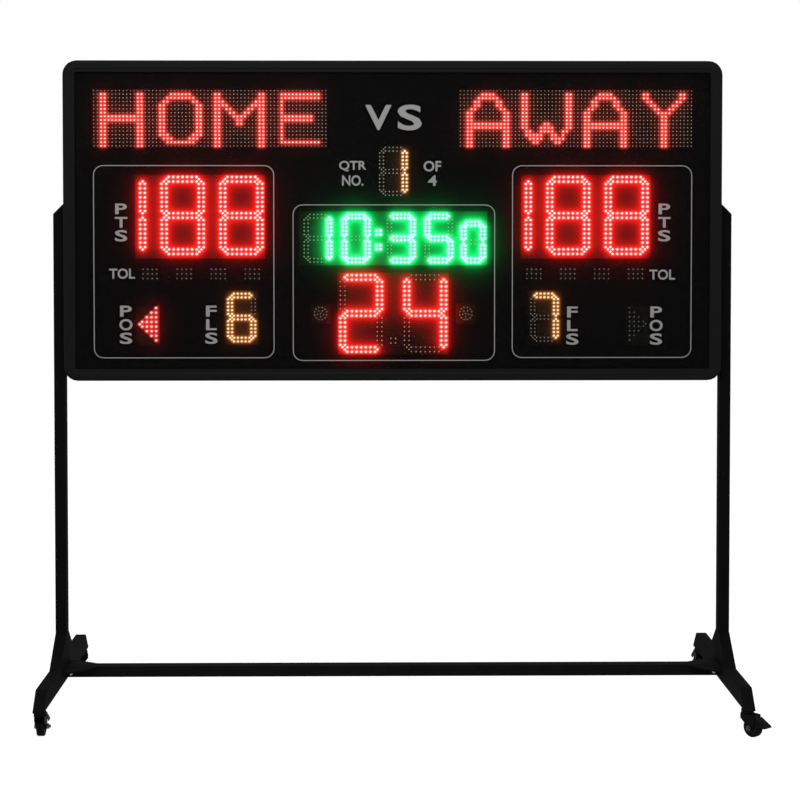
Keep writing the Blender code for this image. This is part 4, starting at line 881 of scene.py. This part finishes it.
class Light(NamedTuple):
    """What one kind of lamp gives, in linear colours and in metres."""

    core: tuple  # the lit lens
    # ring is painted light: the colour that the disc round a lit lens glows with, as its halo
    ring: tuple  # the bright ring round it
    haze: tuple  # the light that spreads
    near: float  # its strength close by
    reach: float  # how far the close part carries
    far: float  # its strength far off
    heat: tuple = (0.0, 0.0, 0.0)  # what warms the haze next to the lamp
    tint: tuple = (1.0, 1.0, 1.0)  # the unlit lens against the common colour


LIGHTS = {
    "score_red": Light(
        (1.0, 0.84, 0.76), (1.0, 0.34, 0.29), (1.0, 0.008, 0.006), 0.42, 11 * MM, 0.066, (0.0, 0.035, 0.035)
    ),
    "shot_red": Light(
        (1.0, 0.84, 0.72), (1.0, 0.38, 0.31), (1.0, 0.010, 0.006), 0.44, 11 * MM, 0.062, (0.0, 0.045, 0.04),
        (1.5, 0.80, 0.70),
    ),
    "matrix_red": Light(
        (1.0, 0.62, 0.52), (1.0, 0.14, 0.105), (1.0, 0.032, 0.022), 0.72, 6.3 * MM, 0.009, (0.0, 0.01, 0.01),
        (1.70, 1.35, 1.25),
    ),
    "arrow_red": Light(
        (1.0, 0.62, 0.58), (1.0, 0.18, 0.16), (1.0, 0.014, 0.011), 0.30, 9 * MM, 0.03,
        tint=(0.40, 0.40, 0.42),
    ),
    "clock_green": Light(
        (0.74, 1.0, 0.97), (0.56, 1.0, 0.88), (0.001, 1.0, 0.15), 0.42, 11 * MM, 0.060, (0.12, 0.20, 0.34),
        (0.80, 1.40, 0.90),
    ),
    "foul_amber": Light(
        (1.0, 0.84, 0.38), (0.86, 0.30, 0.06), (1.0, 0.22, 0.014), 0.10, 8 * MM, 0.004, (0.05, 0.015, 0.0),
        (0.60, 0.55, 0.55),
    ),
    "period_amber": Light(
        (1.0, 0.80, 0.42), (1.0, 0.36, 0.10), (1.0, 0.24, 0.030), 0.08, 8 * MM, 0.004, (0.03, 0.01, 0.0),
        (0.9, 0.95, 0.9),
    ),
}
LIGHTS["signal"] = LIGHTS["shot_red"]._replace(tint=(3.2, 2.7, 2.5))


class Display(NamedTuple):
    """One display: its node, kind of light, lens size, set-back, and lamps as X, Z and lit or not."""

    node: str
    kind: str
    size: float
    set_back: float
    lamps: list


def all_displays(settings):
    """Every display, with its lamps in place."""
    found = []

    def add(name, kind, make, *details, size=settings.lamp_size, set_back=BAR_SET_BACK):
        node = f"{name}_display"
        low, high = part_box(node)
        lamps = make((low.x + high.x) / 2, (low.z + high.z) / 2, *details)
        found.append(Display(node, kind, size, set_back, lamps))

    small = settings.matrix_lamp_size
    for side, sign in SIDES:
        word = getattr(settings, f"{side}_name")
        fouls = getattr(settings, f"{side}_fouls")
        add(f"{side}_name", "matrix_red", word_lamps, word, size=small, set_back=FACE_SET_BACK)
        add(f"{side}_score", "score_red", score_lamps, getattr(settings, f"{side}_score"))
        add(f"{side}_foul", "foul_amber", digit_lamps, SMALL_DIGIT, fouls)
        add(f"{side}_timeout", "foul_amber", timeout_lamps)
        add(f"{side}_possession", "arrow_red", arrow_lamps, sign)
        add(f"{side}_signal", "signal", ring_lamps, size=small * SIGNAL_SCALE)
    add("game_clock", "clock_green", clock_lamps, settings.clock, settings.tenths)
    add("shot_clock", "shot_red", shot_lamps, settings.shot)
    add("period", "period_amber", digit_lamps, SMALL_DIGIT, settings.period)
    return found


class GlowField:
    """The light of lit lamps, as it falls on the surfaces round them."""

    def __init__(self, displays, strength):
        rows = []
        for display in displays:
            light = LIGHTS[display.kind]
            near = [c * light.near * strength for c in light.haze]
            far = [c * light.far * strength for c in light.haze]
            heat = [c * strength for c in light.heat]
            rows += [(x, z, light.reach, *near, *far, *heat) for x, z, lit in display.lamps if lit]
        table = np.array(rows, float).reshape(-1, 12)
        self.places, self.reaches = table[:, :2], table[:, 2]
        self.near, self.far, self.heat = table[:, 3:6], table[:, 6:9], table[:, 9:12]

    def at(self, points, near_share=1.0, far_share=1.0):
        """Colour of the glow at points of X and Z."""
        points = np.asarray(points, float).reshape(-1, 2)
        colors = np.zeros((len(points), 3))
        for start in range(0, len(points), GLOW_BLOCK):
            block = points[start : start + GLOW_BLOCK]
            low, high = block.min(0) - GLOW_RADIUS, block.max(0) + GLOW_RADIUS
            some = np.all((self.places > low) & (self.places < high), axis=1)
            if some.any():
                gap = ((block[:, None, :] - self.places[None, some, :]) ** 2).sum(2)
                near = np.exp(-gap / self.reaches[None, some] ** 2) @ self.near[some]
                heat = np.exp(-gap / HEAT_REACH**2) @ self.heat[some]
                far = (1 + gap / FAR_REACH**2) ** -2.5 @ self.far[some]
                colors[start : start + GLOW_BLOCK] = (near + heat) * near_share + far * far_share
        return colors


def shape_of(make, **settings):
    """The corners and faces of a shape that a bmesh operator makes."""
    bm = bmesh.new()
    make(bm, **settings)
    bm.verts.index_update()
    corners = np.array([v.co for v in bm.verts])
    faces = [[v.index for v in f.verts] for f in bm.faces]
    bm.free()
    return corners, faces


class Stock:
    """Many copies of small shapes, gathered into one piece with a glow and a lens colour."""

    def __init__(self):
        self.corners, self.faces, self.glows, self.lenses = [], [], [], []
        self.count = 0

    def add(self, shape, matrix, glow, lens):
        """Put a copy of a shape in its place."""
        corners, faces = shape
        turn = np.array(matrix)
        self.corners.append(corners @ turn[:3, :3].T + turn[:3, 3])
        self.faces += [[index + self.count for index in face] for face in faces]
        self.glows.append(np.broadcast_to(np.asarray(glow), (len(corners), 3)))
        self.lenses.append(np.broadcast_to(np.asarray(lens), (len(corners), 3)))
        self.count += len(corners)

    def piece(self, name, body, material, slot):
        """Make the piece and store the two colours on it."""
        mesh = bpy.data.meshes.new(name)
        mesh.from_pydata(np.concatenate(self.corners), [], self.faces)
        mesh.materials.append(material)
        mesh.shade_smooth()
        keep_colors(mesh, "glow", np.concatenate(self.glows))
        keep_colors(mesh, "lens", np.concatenate(self.lenses))
        piece = new_object(name, mesh)
        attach(piece, body)


def keep_colors(mesh, name, colors):
    """Store colours on a mesh's vertices."""
    whole = np.ones((len(colors), 4))
    whole[:, :3] = np.minimum(colors, GLOW_LIMIT)
    layer = mesh.attributes.new(name, "FLOAT_COLOR", "POINT")
    layer.data.foreach_set("color", whole.ravel())


def vertex_places(mesh):
    """The places of a mesh's vertices, as rows of X, Y, Z."""
    places = np.empty(len(mesh.vertices) * 3)
    mesh.vertices.foreach_get("co", places)
    return places.reshape(-1, 3)


def keep_glow(piece, spill):
    """Store the light that falls on the carrier or the print, less than what falls on the modules."""
    flat = vertex_places(piece.data)[:, (0, 2)]
    keep_colors(piece.data, "glow", spill.at(flat, PLATE_NEAR, PLATE_FAR))


class SCOREBOARD_OT_displays(Operator):
    """Seat lit lamps on every display module, and let their light fall round them"""

    bl_idname = "scoreboard.displays"
    bl_label = "Displays"

    def execute(self, context):
        settings = context.scene.scoreboard.lamps
        displays = all_displays(settings)
        spill = GlowField(displays, settings.strength)
        board = lamp_board()
        lens = lamp_lens()
        for display in displays:
            own = GlowField([display], settings.strength)
            self.module(display, own, spill, board)
            self.lamps(display, own, spill, lens, tuple(settings.unlit))
        self.carrier(displays, spill)
        return {"FINISHED"}

    def module(self, display, own, spill, material):
        """The module, cut finely enough to hold its glow."""
        node = display.node
        bm = merged(node)
        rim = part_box(node)[0].y
        front = [f for f in facing_front(bm) if f.calc_center_median().y < rim + FRONT_DEPTH]
        grid_cut(bm, front, MODULE_GRID)
        piece = stand_in(node, node.replace("_display", "_module"), bm, material)
        places = vertex_places(piece.data)
        flat = places[:, (0, 2)]
        colors = own.at(flat)
        if display.kind == "arrow_red":
            colors[places[:, 1] > rim + display.set_back + ARROW_FLOOR] = 0
        colors += spill.at(flat, 0, SIGNAL_FAR if display.kind == "signal" else PLATE_FAR)
        colors[places[:, 1] > rim + FRONT_DEPTH] = 0
        keep_colors(piece.data, "glow", colors)

    def lamps(self, display, own, spill, material, unlit):
        """Small domed lenses, each with its own light, and round each lit one a disc of painted light: the
        bright ring of its halo.
        """
        node, kind, size, set_back, lamps = display
        light = LIGHTS[kind]
        ring_r = min(RING_R, size * RING_SCALE)
        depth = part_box(node)[0].y + set_back
        places = [(x, z) for x, z, _ in lamps]
        dark = own.at(places, DARK_NEAR, DARK_FAR) + spill.at(places, 0, PLATE_FAR)
        edge = np.minimum(own.at(places) + spill.at(places, 0, PLATE_FAR), 1.0)
        off = [c * t for c, t in zip(unlit, light.tint)]
        dome = shape_of(bmesh.ops.create_icosphere, subdivisions=1, radius=1)
        disc = shape_of(bmesh.ops.create_circle, cap_ends=True, cap_tris=True, segments=10, radius=1)
        disc_middle = (np.hypot(disc[0][:, 0], disc[0][:, 1]) < 0.5)[:, None]
        stock = Stock()
        for (x, z, lit), dim, rim in zip(lamps, dark, edge):
            radius = size / 2 * (LIT_SCALE if lit else UNLIT_SCALE)
            across = radius * (LAMP_SPREAD if lit else 1)
            shape = Matrix.Diagonal((across, size * LAMP_BULGE, radius, 1))
            shape = Matrix.Translation((x, depth, z)) @ shape
            stock.add(dome, shape, light.core if lit else dim, off)
            # Round each lit lamp a flat disc glows: painted light, a halo bright in its middle that fades to
            # the glow round it
            if lit:
                shape = Matrix.Diagonal((ring_r * RING_SPREAD, ring_r, 1, 1))
                shape = upright_place(x, z, depth - RING_LIFT) @ shape
                stock.add(disc, shape, np.where(disc_middle, light.ring, rim), RING_BASE)
        stock.piece(node.replace("_display", "_lamps"), body_of(node), material, "lamp_board")

    def carrier(self, displays, spill):
        """The carrier plate, cut finely enough to hold the glow round its windows."""
        bm = merged("carrier_plate")
        grid_cut(bm, facing_front(bm), PLATE_GRID)
        for display in displays:
            if any(lit for _, _, lit in display.lamps):
                self.halo_cut(bm, *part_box(display.node))
        keep_glow(stand_in("carrier_plate", "carrier_skin", bm, carrier_black()), spill)

    def halo_cut(self, bm, low, high):
        """Cut the carrier's front finely in a band round a window."""
        faces = []
        for face in facing_front(bm):
            at = face.calc_center_median()
            across = max(low.x - at.x, at.x - high.x, 0)
            up = max(low.z - at.z, at.z - high.z, 0)
            if math.hypot(across, up) < HALO_BAND:
                faces.append(face)
        if faces:
            grid_cut(bm, faces, HALO_GRID)


def upright_place(x, z, depth):
    """Stands a flat shape up, facing forward, with its back at a depth."""
    return Matrix.Translation((x, depth, z)) @ UPRIGHT_PLANE


def outline_ring(bm, x, z, width, height, line):
    """A printed outline with round corners."""
    made = bmesh.ops.create_grid(bm, x_segments=1, y_segments=1, size=0.5)
    verts = made["verts"]
    bmesh.ops.scale(bm, vec=(width, height, 1), verts=verts)
    rounded = bmesh.ops.bevel(
        bm, geom=verts, offset=OUTLINE_R, segments=8, profile=0.5, affect="VERTICES", material=-1
    )
    face = max({f for v in rounded["verts"] for f in v.link_faces}, key=lambda f: f.calc_area())
    settings = {"thickness": line, "use_boundary": True, "use_even_offset": True}
    ring = bmesh.ops.inset_region(bm, faces=[face], **settings)["faces"]
    bmesh.ops.delete(bm, geom=[face], context="FACES_ONLY")
    swept = bmesh.ops.extrude_face_region(bm, geom=ring, use_keep_orig=True)
    lifted = [v for v in swept["geom"] if isinstance(v, bmesh.types.BMVert)]
    bmesh.ops.translate(bm, vec=(0, 0, INK), verts=lifted)
    whole = {v for f in ring for v in f.verts} | set(lifted)
    bmesh.ops.transform(bm, matrix=upright_place(x, z, GLAZING_FRONT), verts=list(whole))


def stamp(bm, text, x, z, width, height):
    """A word as flat bold letters that fill a space."""
    curve = bpy.data.curves.new("word", "FONT")
    curve.body = text
    curve.size = 1.0
    curve.offset = LETTER_WEIGHT
    curve.resolution_u = LETTER_STEPS
    curve.extrude = 0.5
    word = new_object("word", curve)
    bpy.context.view_layer.update()
    mesh = bpy.data.meshes.new_from_object(word.evaluated_get(bpy.context.evaluated_depsgraph_get()))
    bpy.data.objects.remove(word)
    xs = [v.co.x for v in mesh.vertices]
    ys = [v.co.y for v in mesh.vertices]
    low_x, high_x, low_y, high_y = min(xs), max(xs), min(ys), max(ys)
    centre = Matrix.Translation((-(low_x + high_x) / 2, -(low_y + high_y) / 2, 0.5))
    fit = Matrix.Diagonal((width / (high_x - low_x), height / (high_y - low_y), INK, 1))
    mesh.transform(fit @ centre)
    mesh.transform(upright_place(x, z, GLAZING_FRONT))
    pour(bm, mesh)


class SCOREBOARD_OT_print(Operator):
    """Print the pale outlines and labels on the glazing"""

    bl_idname = "scoreboard.print"
    bl_label = "Print"

    def execute(self, context):
        settings = context.scene.scoreboard
        spill = GlowField(all_displays(settings.lamps), settings.lamps.strength)
        material = ink(tuple(settings.finish.print_color))
        bm = bmesh.new()
        for outline in OUTLINES:
            outline_ring(bm, *outline, settings.finish.line_width)
        merge(bm)
        grid_cut(bm, facing_front(bm), PRINT_GRID)
        bmesh.ops.recalc_face_normals(bm, faces=bm.faces)
        keep_glow(finish_piece("printed_outlines", bm, ROOT, material, "smoked_sheet"), spill)
        bm = bmesh.new()
        for label in LABELS:
            stamp(bm, *label)
        for text, x, z, drop, sizes in DOWNWARD_LABELS:
            for index, (letter, size) in enumerate(zip(text, sizes)):
                stamp(bm, letter, x, z - index * drop, *size)
        merge(bm)
        keep_glow(finish_piece("printed_labels", bm, ROOT, material, "smoked_sheet"), spill)
        return {"FINISHED"}


def fastener(bm, place, head):
    """A head or washer on its seat, rounded round its top, with a socket if it has one."""
    radius, height, sides, rounding, recess = head
    made = bmesh.ops.create_cone(
        bm, cap_ends=True, segments=sides, radius1=radius, radius2=radius, depth=height,
        matrix=Matrix.Translation((0, 0, height / 2)),
    )
    verts = made["verts"]
    top = max({f for v in verts for f in v.link_faces}, key=lambda f: f.calc_center_median().z)
    shaped = bmesh.ops.bevel(
        bm, geom=list(top.edges), offset=height * rounding, segments=2, profile=0.5, affect="EDGES",
        material=-1,
    )
    whole = {v for v in verts if v.is_valid} | set(shaped["verts"])
    if recess:
        faces = {f for v in whole for f in v.link_faces}
        top = max(faces, key=lambda f: (f.calc_center_median().z, f.calc_area()))
        socket = bmesh.ops.inset_region(bm, faces=[top], thickness=radius * SOCKET_SHARE)
        whole |= {v for f in socket["faces"] for v in f.verts} | set(top.verts)
        sunk = bmesh.ops.extrude_face_region(bm, geom=[top])
        floor = [v for v in sunk["geom"] if isinstance(v, bmesh.types.BMVert)]
        bmesh.ops.translate(bm, vec=(0, 0, -recess), verts=floor)
        bmesh.ops.delete(bm, geom=[top], context="FACES_ONLY")
        whole |= set(floor)
    bmesh.ops.transform(bm, matrix=place, verts=list(whole))


def bolt(bm, place, washer, head):
    """A bolt's head on its washer."""
    fastener(bm, place, washer)
    fastener(bm, place @ Matrix.Translation((0, 0, washer.height)), head)


def facing(place, axis):
    """A matrix at a place, with its Z along an axis."""
    return Matrix.Translation(place) @ Vector(axis).to_track_quat("Z", "Y").to_matrix().to_4x4()


def weld_bead(bm, start, end):
    """Add a rippled bead along a seam, round at both ends. It is shaped on its own, which is quicker."""
    start, end = Vector(start), Vector(end)
    run = end - start
    bead = bmesh.new()
    count = max(6, round(run.length / (WELD_R * WELD_STEP)))
    last = None
    for index in range(count + 1):
        share = index / count
        ripple = 1 + WELD_RIPPLE * math.sin(index * math.pi * 0.7)
        swell = WELD_R * ripple * min(1, WELD_TAPER * min(share, 1 - share) + WELD_END)
        place = facing(start + run * share, run)
        made = bmesh.ops.create_circle(
            bead, cap_ends=index in (0, count), segments=8, radius=swell, matrix=place
        )
        ring = made["verts"]
        edges = list({e for v in ring for e in v.link_edges if all(other in ring for other in e.verts)})
        if last:
            bmesh.ops.bridge_loops(bead, edges=last + edges)
        last = edges
    pour(bm, mesh_of("bead", bead))


class SCOREBOARD_OT_frame(Operator):
    """Finish the extruded frame and its glazing"""

    bl_idname = "scoreboard.frame"
    bl_label = "Frame and glazing"

    def execute(self, context):
        settings = context.scene.scoreboard.finish
        black = anodised(tuple(settings.frame_color))
        for node in frame["nodes"]:
            if node.startswith("frame_"):
                softened(node, black, settings.edge)
        paint_piece("front_glazing", smoked_sheet(settings.tint))
        return {"FINISHED"}


class SCOREBOARD_OT_rear(Operator):
    """Finish the rear cover, its screws, the power inlet and what the cover carries"""

    bl_idname = "scoreboard.rear"
    bl_label = "Rear cover"

    def execute(self, context):
        softened("rear_cover", coated("cover_coat", COVER_GREY, 0.5, 1100, 0.12), COVER_EDGE)
        softened("power_inlet", moulded("moulded_black", INLET_BLACK, 0.42, 0.4), INLET_EDGE)
        softened("power_switch_rocker", moulded("rocker_red", ROCKER_RED, 0.3, 0.5), SMALL_EDGE)
        softened("horn", moulded("horn_grey", HORN_GREY, 0.5, 0.4), 0)
        paint_piece("power_supply", bright_sheet())
        paint_piece("control_board", circuit())
        bright = plated("zinc_plate", ZINC)
        low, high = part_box("power_inlet")
        middle = Vector(((low.x + high.x) / 2, high.y, (low.z + high.z) / 2))
        bm = bmesh.new()
        for x, z in self.cover_screws():
            fastener(bm, facing((x, COVER_FACE, z), REARWARD), COVER_SCREW)
        for z in (low.z + INLET_SCREW_INSET, high.z - INLET_SCREW_INSET):
            fastener(bm, facing((middle.x, high.y, z), REARWARD), INLET_SCREW)
        finish_piece("cover_screws", bm, ROOT, bright, "zinc_plate", smooth=FITTING_ANGLE)
        bm = bmesh.new()
        for dx, dz in BLADES:
            place = Matrix.Translation(middle + Vector((dx, -BLADE_DEPTH, dz)))
            bmesh.ops.create_cube(bm, size=1, matrix=place @ Matrix.Diagonal(BLADE_SIZE))
        bmesh.ops.bevel(
            bm, geom=bm.edges, offset=BLADE_EDGE, segments=2, profile=0.5, affect="EDGES", material=-1
        )
        finish_piece("inlet_blades", bm, ROOT, bright, "zinc_plate", smooth=FITTING_ANGLE)
        return {"FINISHED"}

    def cover_screws(self):
        """The places of the cover's screws, in rows along its four sides."""
        places = []
        for index in range(SCREW_COLUMNS + 1):
            width = BOARD_RIGHT - BOARD_LEFT - 2 * SCREW_START
            x = BOARD_LEFT + SCREW_START + index * width / SCREW_COLUMNS
            places += [(x, BOARD_BOTTOM + SCREW_INSET), (x, BOARD_TOP - SCREW_INSET)]
        for index in range(1, SCREW_ROWS):
            z = BOARD_BOTTOM + index * (BOARD_TOP - BOARD_BOTTOM) / SCREW_ROWS
            places += [(BOARD_LEFT + SCREW_INSET, z), (BOARD_RIGHT - SCREW_INSET, z)]
        return places


class SCOREBOARD_OT_stand(Operator):
    """Coat the stand and fit its bolts, washers and welds"""

    bl_idname = "scoreboard.stand"
    bl_label = "Stand"

    def execute(self, context):
        settings = context.scene.scoreboard.finish
        black = coated("powder_black", tuple(settings.stand_color), 0.66, 900, 0.003)
        for node in ("left_upright", "right_upright", "left_leg", "right_leg", "crossbar"):
            softened(node, black, 0)
        for side, _ in SIDES:
            softened(f"{side}_lower_bracket", black, settings.edge)
            softened(f"{side}_upper_bracket", black, settings.edge)
        self.bolts()
        self.welds(black)
        return {"FINISHED"}

    def bolts(self):
        """Hex bolts with washers through both flanges of every bracket and at the crossbar's ends."""
        bm = bmesh.new()
        for side, sign in SIDES:
            for level in ("lower", "upper"):
                low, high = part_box(f"{side}_{level}_bracket")
                root = low.x if sign > 0 else high.x
                across = (low.x + high.x) / 2 + sign * FLANGE / 2
                for z in (low.z + BRACKET_BOLT_INSET, high.z - BRACKET_BOLT_INSET):
                    bolt(bm, facing((across, low.y + FLANGE, z), REARWARD), *BRACKET_BOLT)
                    flank = (root + sign * FLANGE, low.y + FLANK_BOLT_DEPTH, z)
                    bolt(bm, facing(flank, (sign, 0, 0)), *BRACKET_BOLT)
            bolt(bm, facing((sign * BAR_BOLT_X, -TUBE_HALF, BAR_BOLT_Z), FORWARD), *BAR_BOLT)
        zinc = plated("zinc_bolt", BOLT_ZINC)
        finish_piece("stand_bolts", bm, ROOT, zinc, "zinc_plate", smooth=BOLT_ANGLE)

    def welds(self, material):
        """Coated weld beads where the tubes and gussets meet."""
        bar_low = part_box("crossbar")[0]
        bm = bmesh.new()
        for side, sign in SIDES:
            low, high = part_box(f"{side}_upright")
            leg_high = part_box(f"{side}_leg")[1]
            near, far = low.y + CROSS_WELD_INSET, high.y - CROSS_WELD_INSET
            for x in (low.x, high.x):
                weld_bead(bm, (x, near, low.z), (x, far, low.z))
            foot, head = low.z + LEG_WELD_INSET, leg_high.z - LEG_WELD_INSET
            for y in (low.y, high.y):
                for x in (low.x + CROSS_WELD_INSET, high.x - CROSS_WELD_INSET):
                    weld_bead(bm, (x, y, foot), (x, y, head))
            inner = low.x if sign > 0 else high.x
            foot, head = bar_low.z + BAR_WELD_LOW, BAR_TOP - BAR_WELD_HIGH
            for y in (-TUBE_HALF, TUBE_HALF):
                weld_bead(bm, (inner, y, foot), (inner, y, head))
        bmesh.ops.recalc_face_normals(bm, faces=bm.faces)
        finish_piece("stand_welds", bm, ROOT, material, "stand_black", smooth=180)


class SCOREBOARD_OT_casters(Operator):
    """Turn detailed wheels and finish the casters"""

    bl_idname = "scoreboard.casters"
    bl_label = "Casters"

    def execute(self, context):
        settings = context.scene.scoreboard.finish
        black = coated("caster_black", tuple(settings.stand_color), 0.5, 1300, 0.012)
        plate = plated("dark_zinc", DARK_ZINC)
        pedal = moulded("pedal_plastic", PEDAL_BLACK, 0.5, 0.02)
        tyre_and_hub = (tread_rubber(), moulded("hub_plastic", HUB_BLACK, 0.5, 0.03))
        joints = {joint["child"]: joint for joint in frame["joints"]}
        for corner in CORNERS:
            softened(f"{corner}_fork", black, SMALL_EDGE)
            softened(f"{corner}_stem", black, STEM_EDGE)
            softened(f"{corner}_axle", plate, SMALL_EDGE)
            softened(f"{corner}_brake_pedal", pedal, SMALL_EDGE)
            node = f"{corner}_wheel"
            joint = joints[body_of(node)]
            self.wheel(node, facing(joint["pos_m"], joint["axis"]), tyre_and_hub)
        return {"FINISHED"}

    def wheel(self, node, place, materials):
        """A tyre with a crowned, grooved tread on a dished hub, turned as one."""
        near = [(r * MM, z * MM) for r, z in WHEEL_SECTION]
        profile = near + [(r, -z) for r, z in reversed(near)]
        bm = bmesh.new()
        verts = [bm.verts.new((r, 0, z)) for r, z in profile]
        edges = [bm.edges.new(pair) for pair in zip(verts, verts[1:] + verts[:1])]
        bmesh.ops.spin(
            bm, geom=verts + edges, cent=(0, 0, 0), axis=(0, 0, 1), angle=math.tau, steps=WHEEL_STEPS,
            use_merge=True,
        )
        merge(bm)
        bmesh.ops.recalc_face_normals(bm, faces=bm.faces)
        for face in bm.faces:
            centre = face.calc_center_median()
            face.material_index = 0 if math.hypot(centre.x, centre.y) > TYRE_INSIDE else 1
        bmesh.ops.transform(bm, matrix=place, verts=bm.verts)
        stand_in(node, f"{node}_skin", bm, materials, FITTING_ANGLE)


class SCOREBOARD_OT_stage(Operator):
    """Set the pale floor, the soft lights and the camera"""

    bl_idname = "scoreboard.stage"
    bl_label = "Stage"

    def execute(self, context):
        settings = context.scene.scoreboard.stage
        context.scene.view_settings.view_transform = "Standard"
        self.floor()
        self.world(context.scene, settings.world)
        for name, place, size, power in PANELS:
            self.panel_light(name, place, size, getattr(settings, power))
        camera = new_object("camera", bpy.data.cameras.new("camera"))
        camera.data.sensor_width = SENSOR
        camera.data.lens = settings.lens
        camera.data.shift_x = settings.slide
        camera.data.shift_y = settings.rise
        camera.location = settings.place
        camera.rotation_euler = (math.radians(90) - settings.pitch, 0, -settings.yaw)
        context.scene.camera = camera
        return {"FINISHED"}

    def floor(self):
        """A white floor that keeps the object's shadow."""
        finish = Finish("studio_floor", 0.1)
        finish.surface((0.86, 0.86, 0.86), 0.8)
        glow = finish.node("Emission", None, {"Color": (1, 1, 1, 1), "Strength": FLOOR_GLOW})
        plain = Wire(finish, finish.shader.outputs[0])
        both = finish.node("MixShader", None, {0: finish.seen() * FLOOR_SHARE, 1: plain, 2: glow})
        finish.feed(both, finish.output.inputs["Surface"])
        bm = bmesh.new()
        bmesh.ops.create_grid(bm, x_segments=1, y_segments=1, size=FLOOR_HALF)
        floor = new_object("studio_floor", mesh_of("studio_floor", bm))
        floor.data.materials.append(finish.material)

    def world(self, scene, level):
        """Even room light, and white wherever the camera looks past the object."""
        scene.world = bpy.data.worlds.new("studio")
        nodes = Nodes(scene.world)
        back = nodes.tree.nodes["Background"]
        nodes.feed((1, 1, 1, 1), back.inputs["Color"])
        nodes.feed(nodes.seen() * (1 - level) + level, back.inputs["Strength"])

    def panel_light(self, name, place, size, power):
        """A square soft light that faces the object."""
        light = bpy.data.lights.new(name, "AREA")
        light.energy = power
        light.size = size
        lamp = new_object(name, light)
        lamp.location = place
        lamp.rotation_euler = (AIM - Vector(place)).to_track_quat("-Z", "Y").to_euler()


STEPS = (
    SCOREBOARD_OT_stage,
    SCOREBOARD_OT_displays,
    SCOREBOARD_OT_print,
    SCOREBOARD_OT_frame,
    SCOREBOARD_OT_rear,
    SCOREBOARD_OT_stand,
    SCOREBOARD_OT_casters,
)


class SCOREBOARD_PT_dressing(Panel):
    """Lists the settings and the steps of the dressing"""

    bl_idname = "SCOREBOARD_PT_dressing"
    bl_label = "Scoreboard"
    bl_space_type = "VIEW_3D"
    bl_region_type = "UI"
    bl_category = "Scoreboard"

    def draw(self, context):
        settings = context.scene.scoreboard
        for group in (settings.lamps, settings.finish, settings.stage):
            box = self.layout.box()
            for name in group.__annotations__:
                box.prop(group, name)
        for step in STEPS:
            self.layout.operator(step.bl_idname)


CLASSES = (LampSettings, FinishSettings, StageSettings, ScoreboardSettings, *STEPS, SCOREBOARD_PT_dressing)


def register():
    """Register the classes and hang the settings on the scene."""
    for cls in CLASSES:
        bpy.utils.register_class(cls)
    bpy.types.Scene.scoreboard = PointerProperty(type=ScoreboardSettings)


def unregister():
    """Undo what register does."""
    del bpy.types.Scene.scoreboard
    for cls in reversed(CLASSES):
        bpy.utils.unregister_class(cls)


def main():
    """Run every step in order."""
    register()
    bpy.ops.scoreboard.stage()
    bpy.ops.scoreboard.displays()
    bpy.ops.scoreboard.print()
    bpy.ops.scoreboard.frame()
    bpy.ops.scoreboard.rear()
    bpy.ops.scoreboard.stand()
    bpy.ops.scoreboard.casters()


if __name__ == "__main__":
    main()
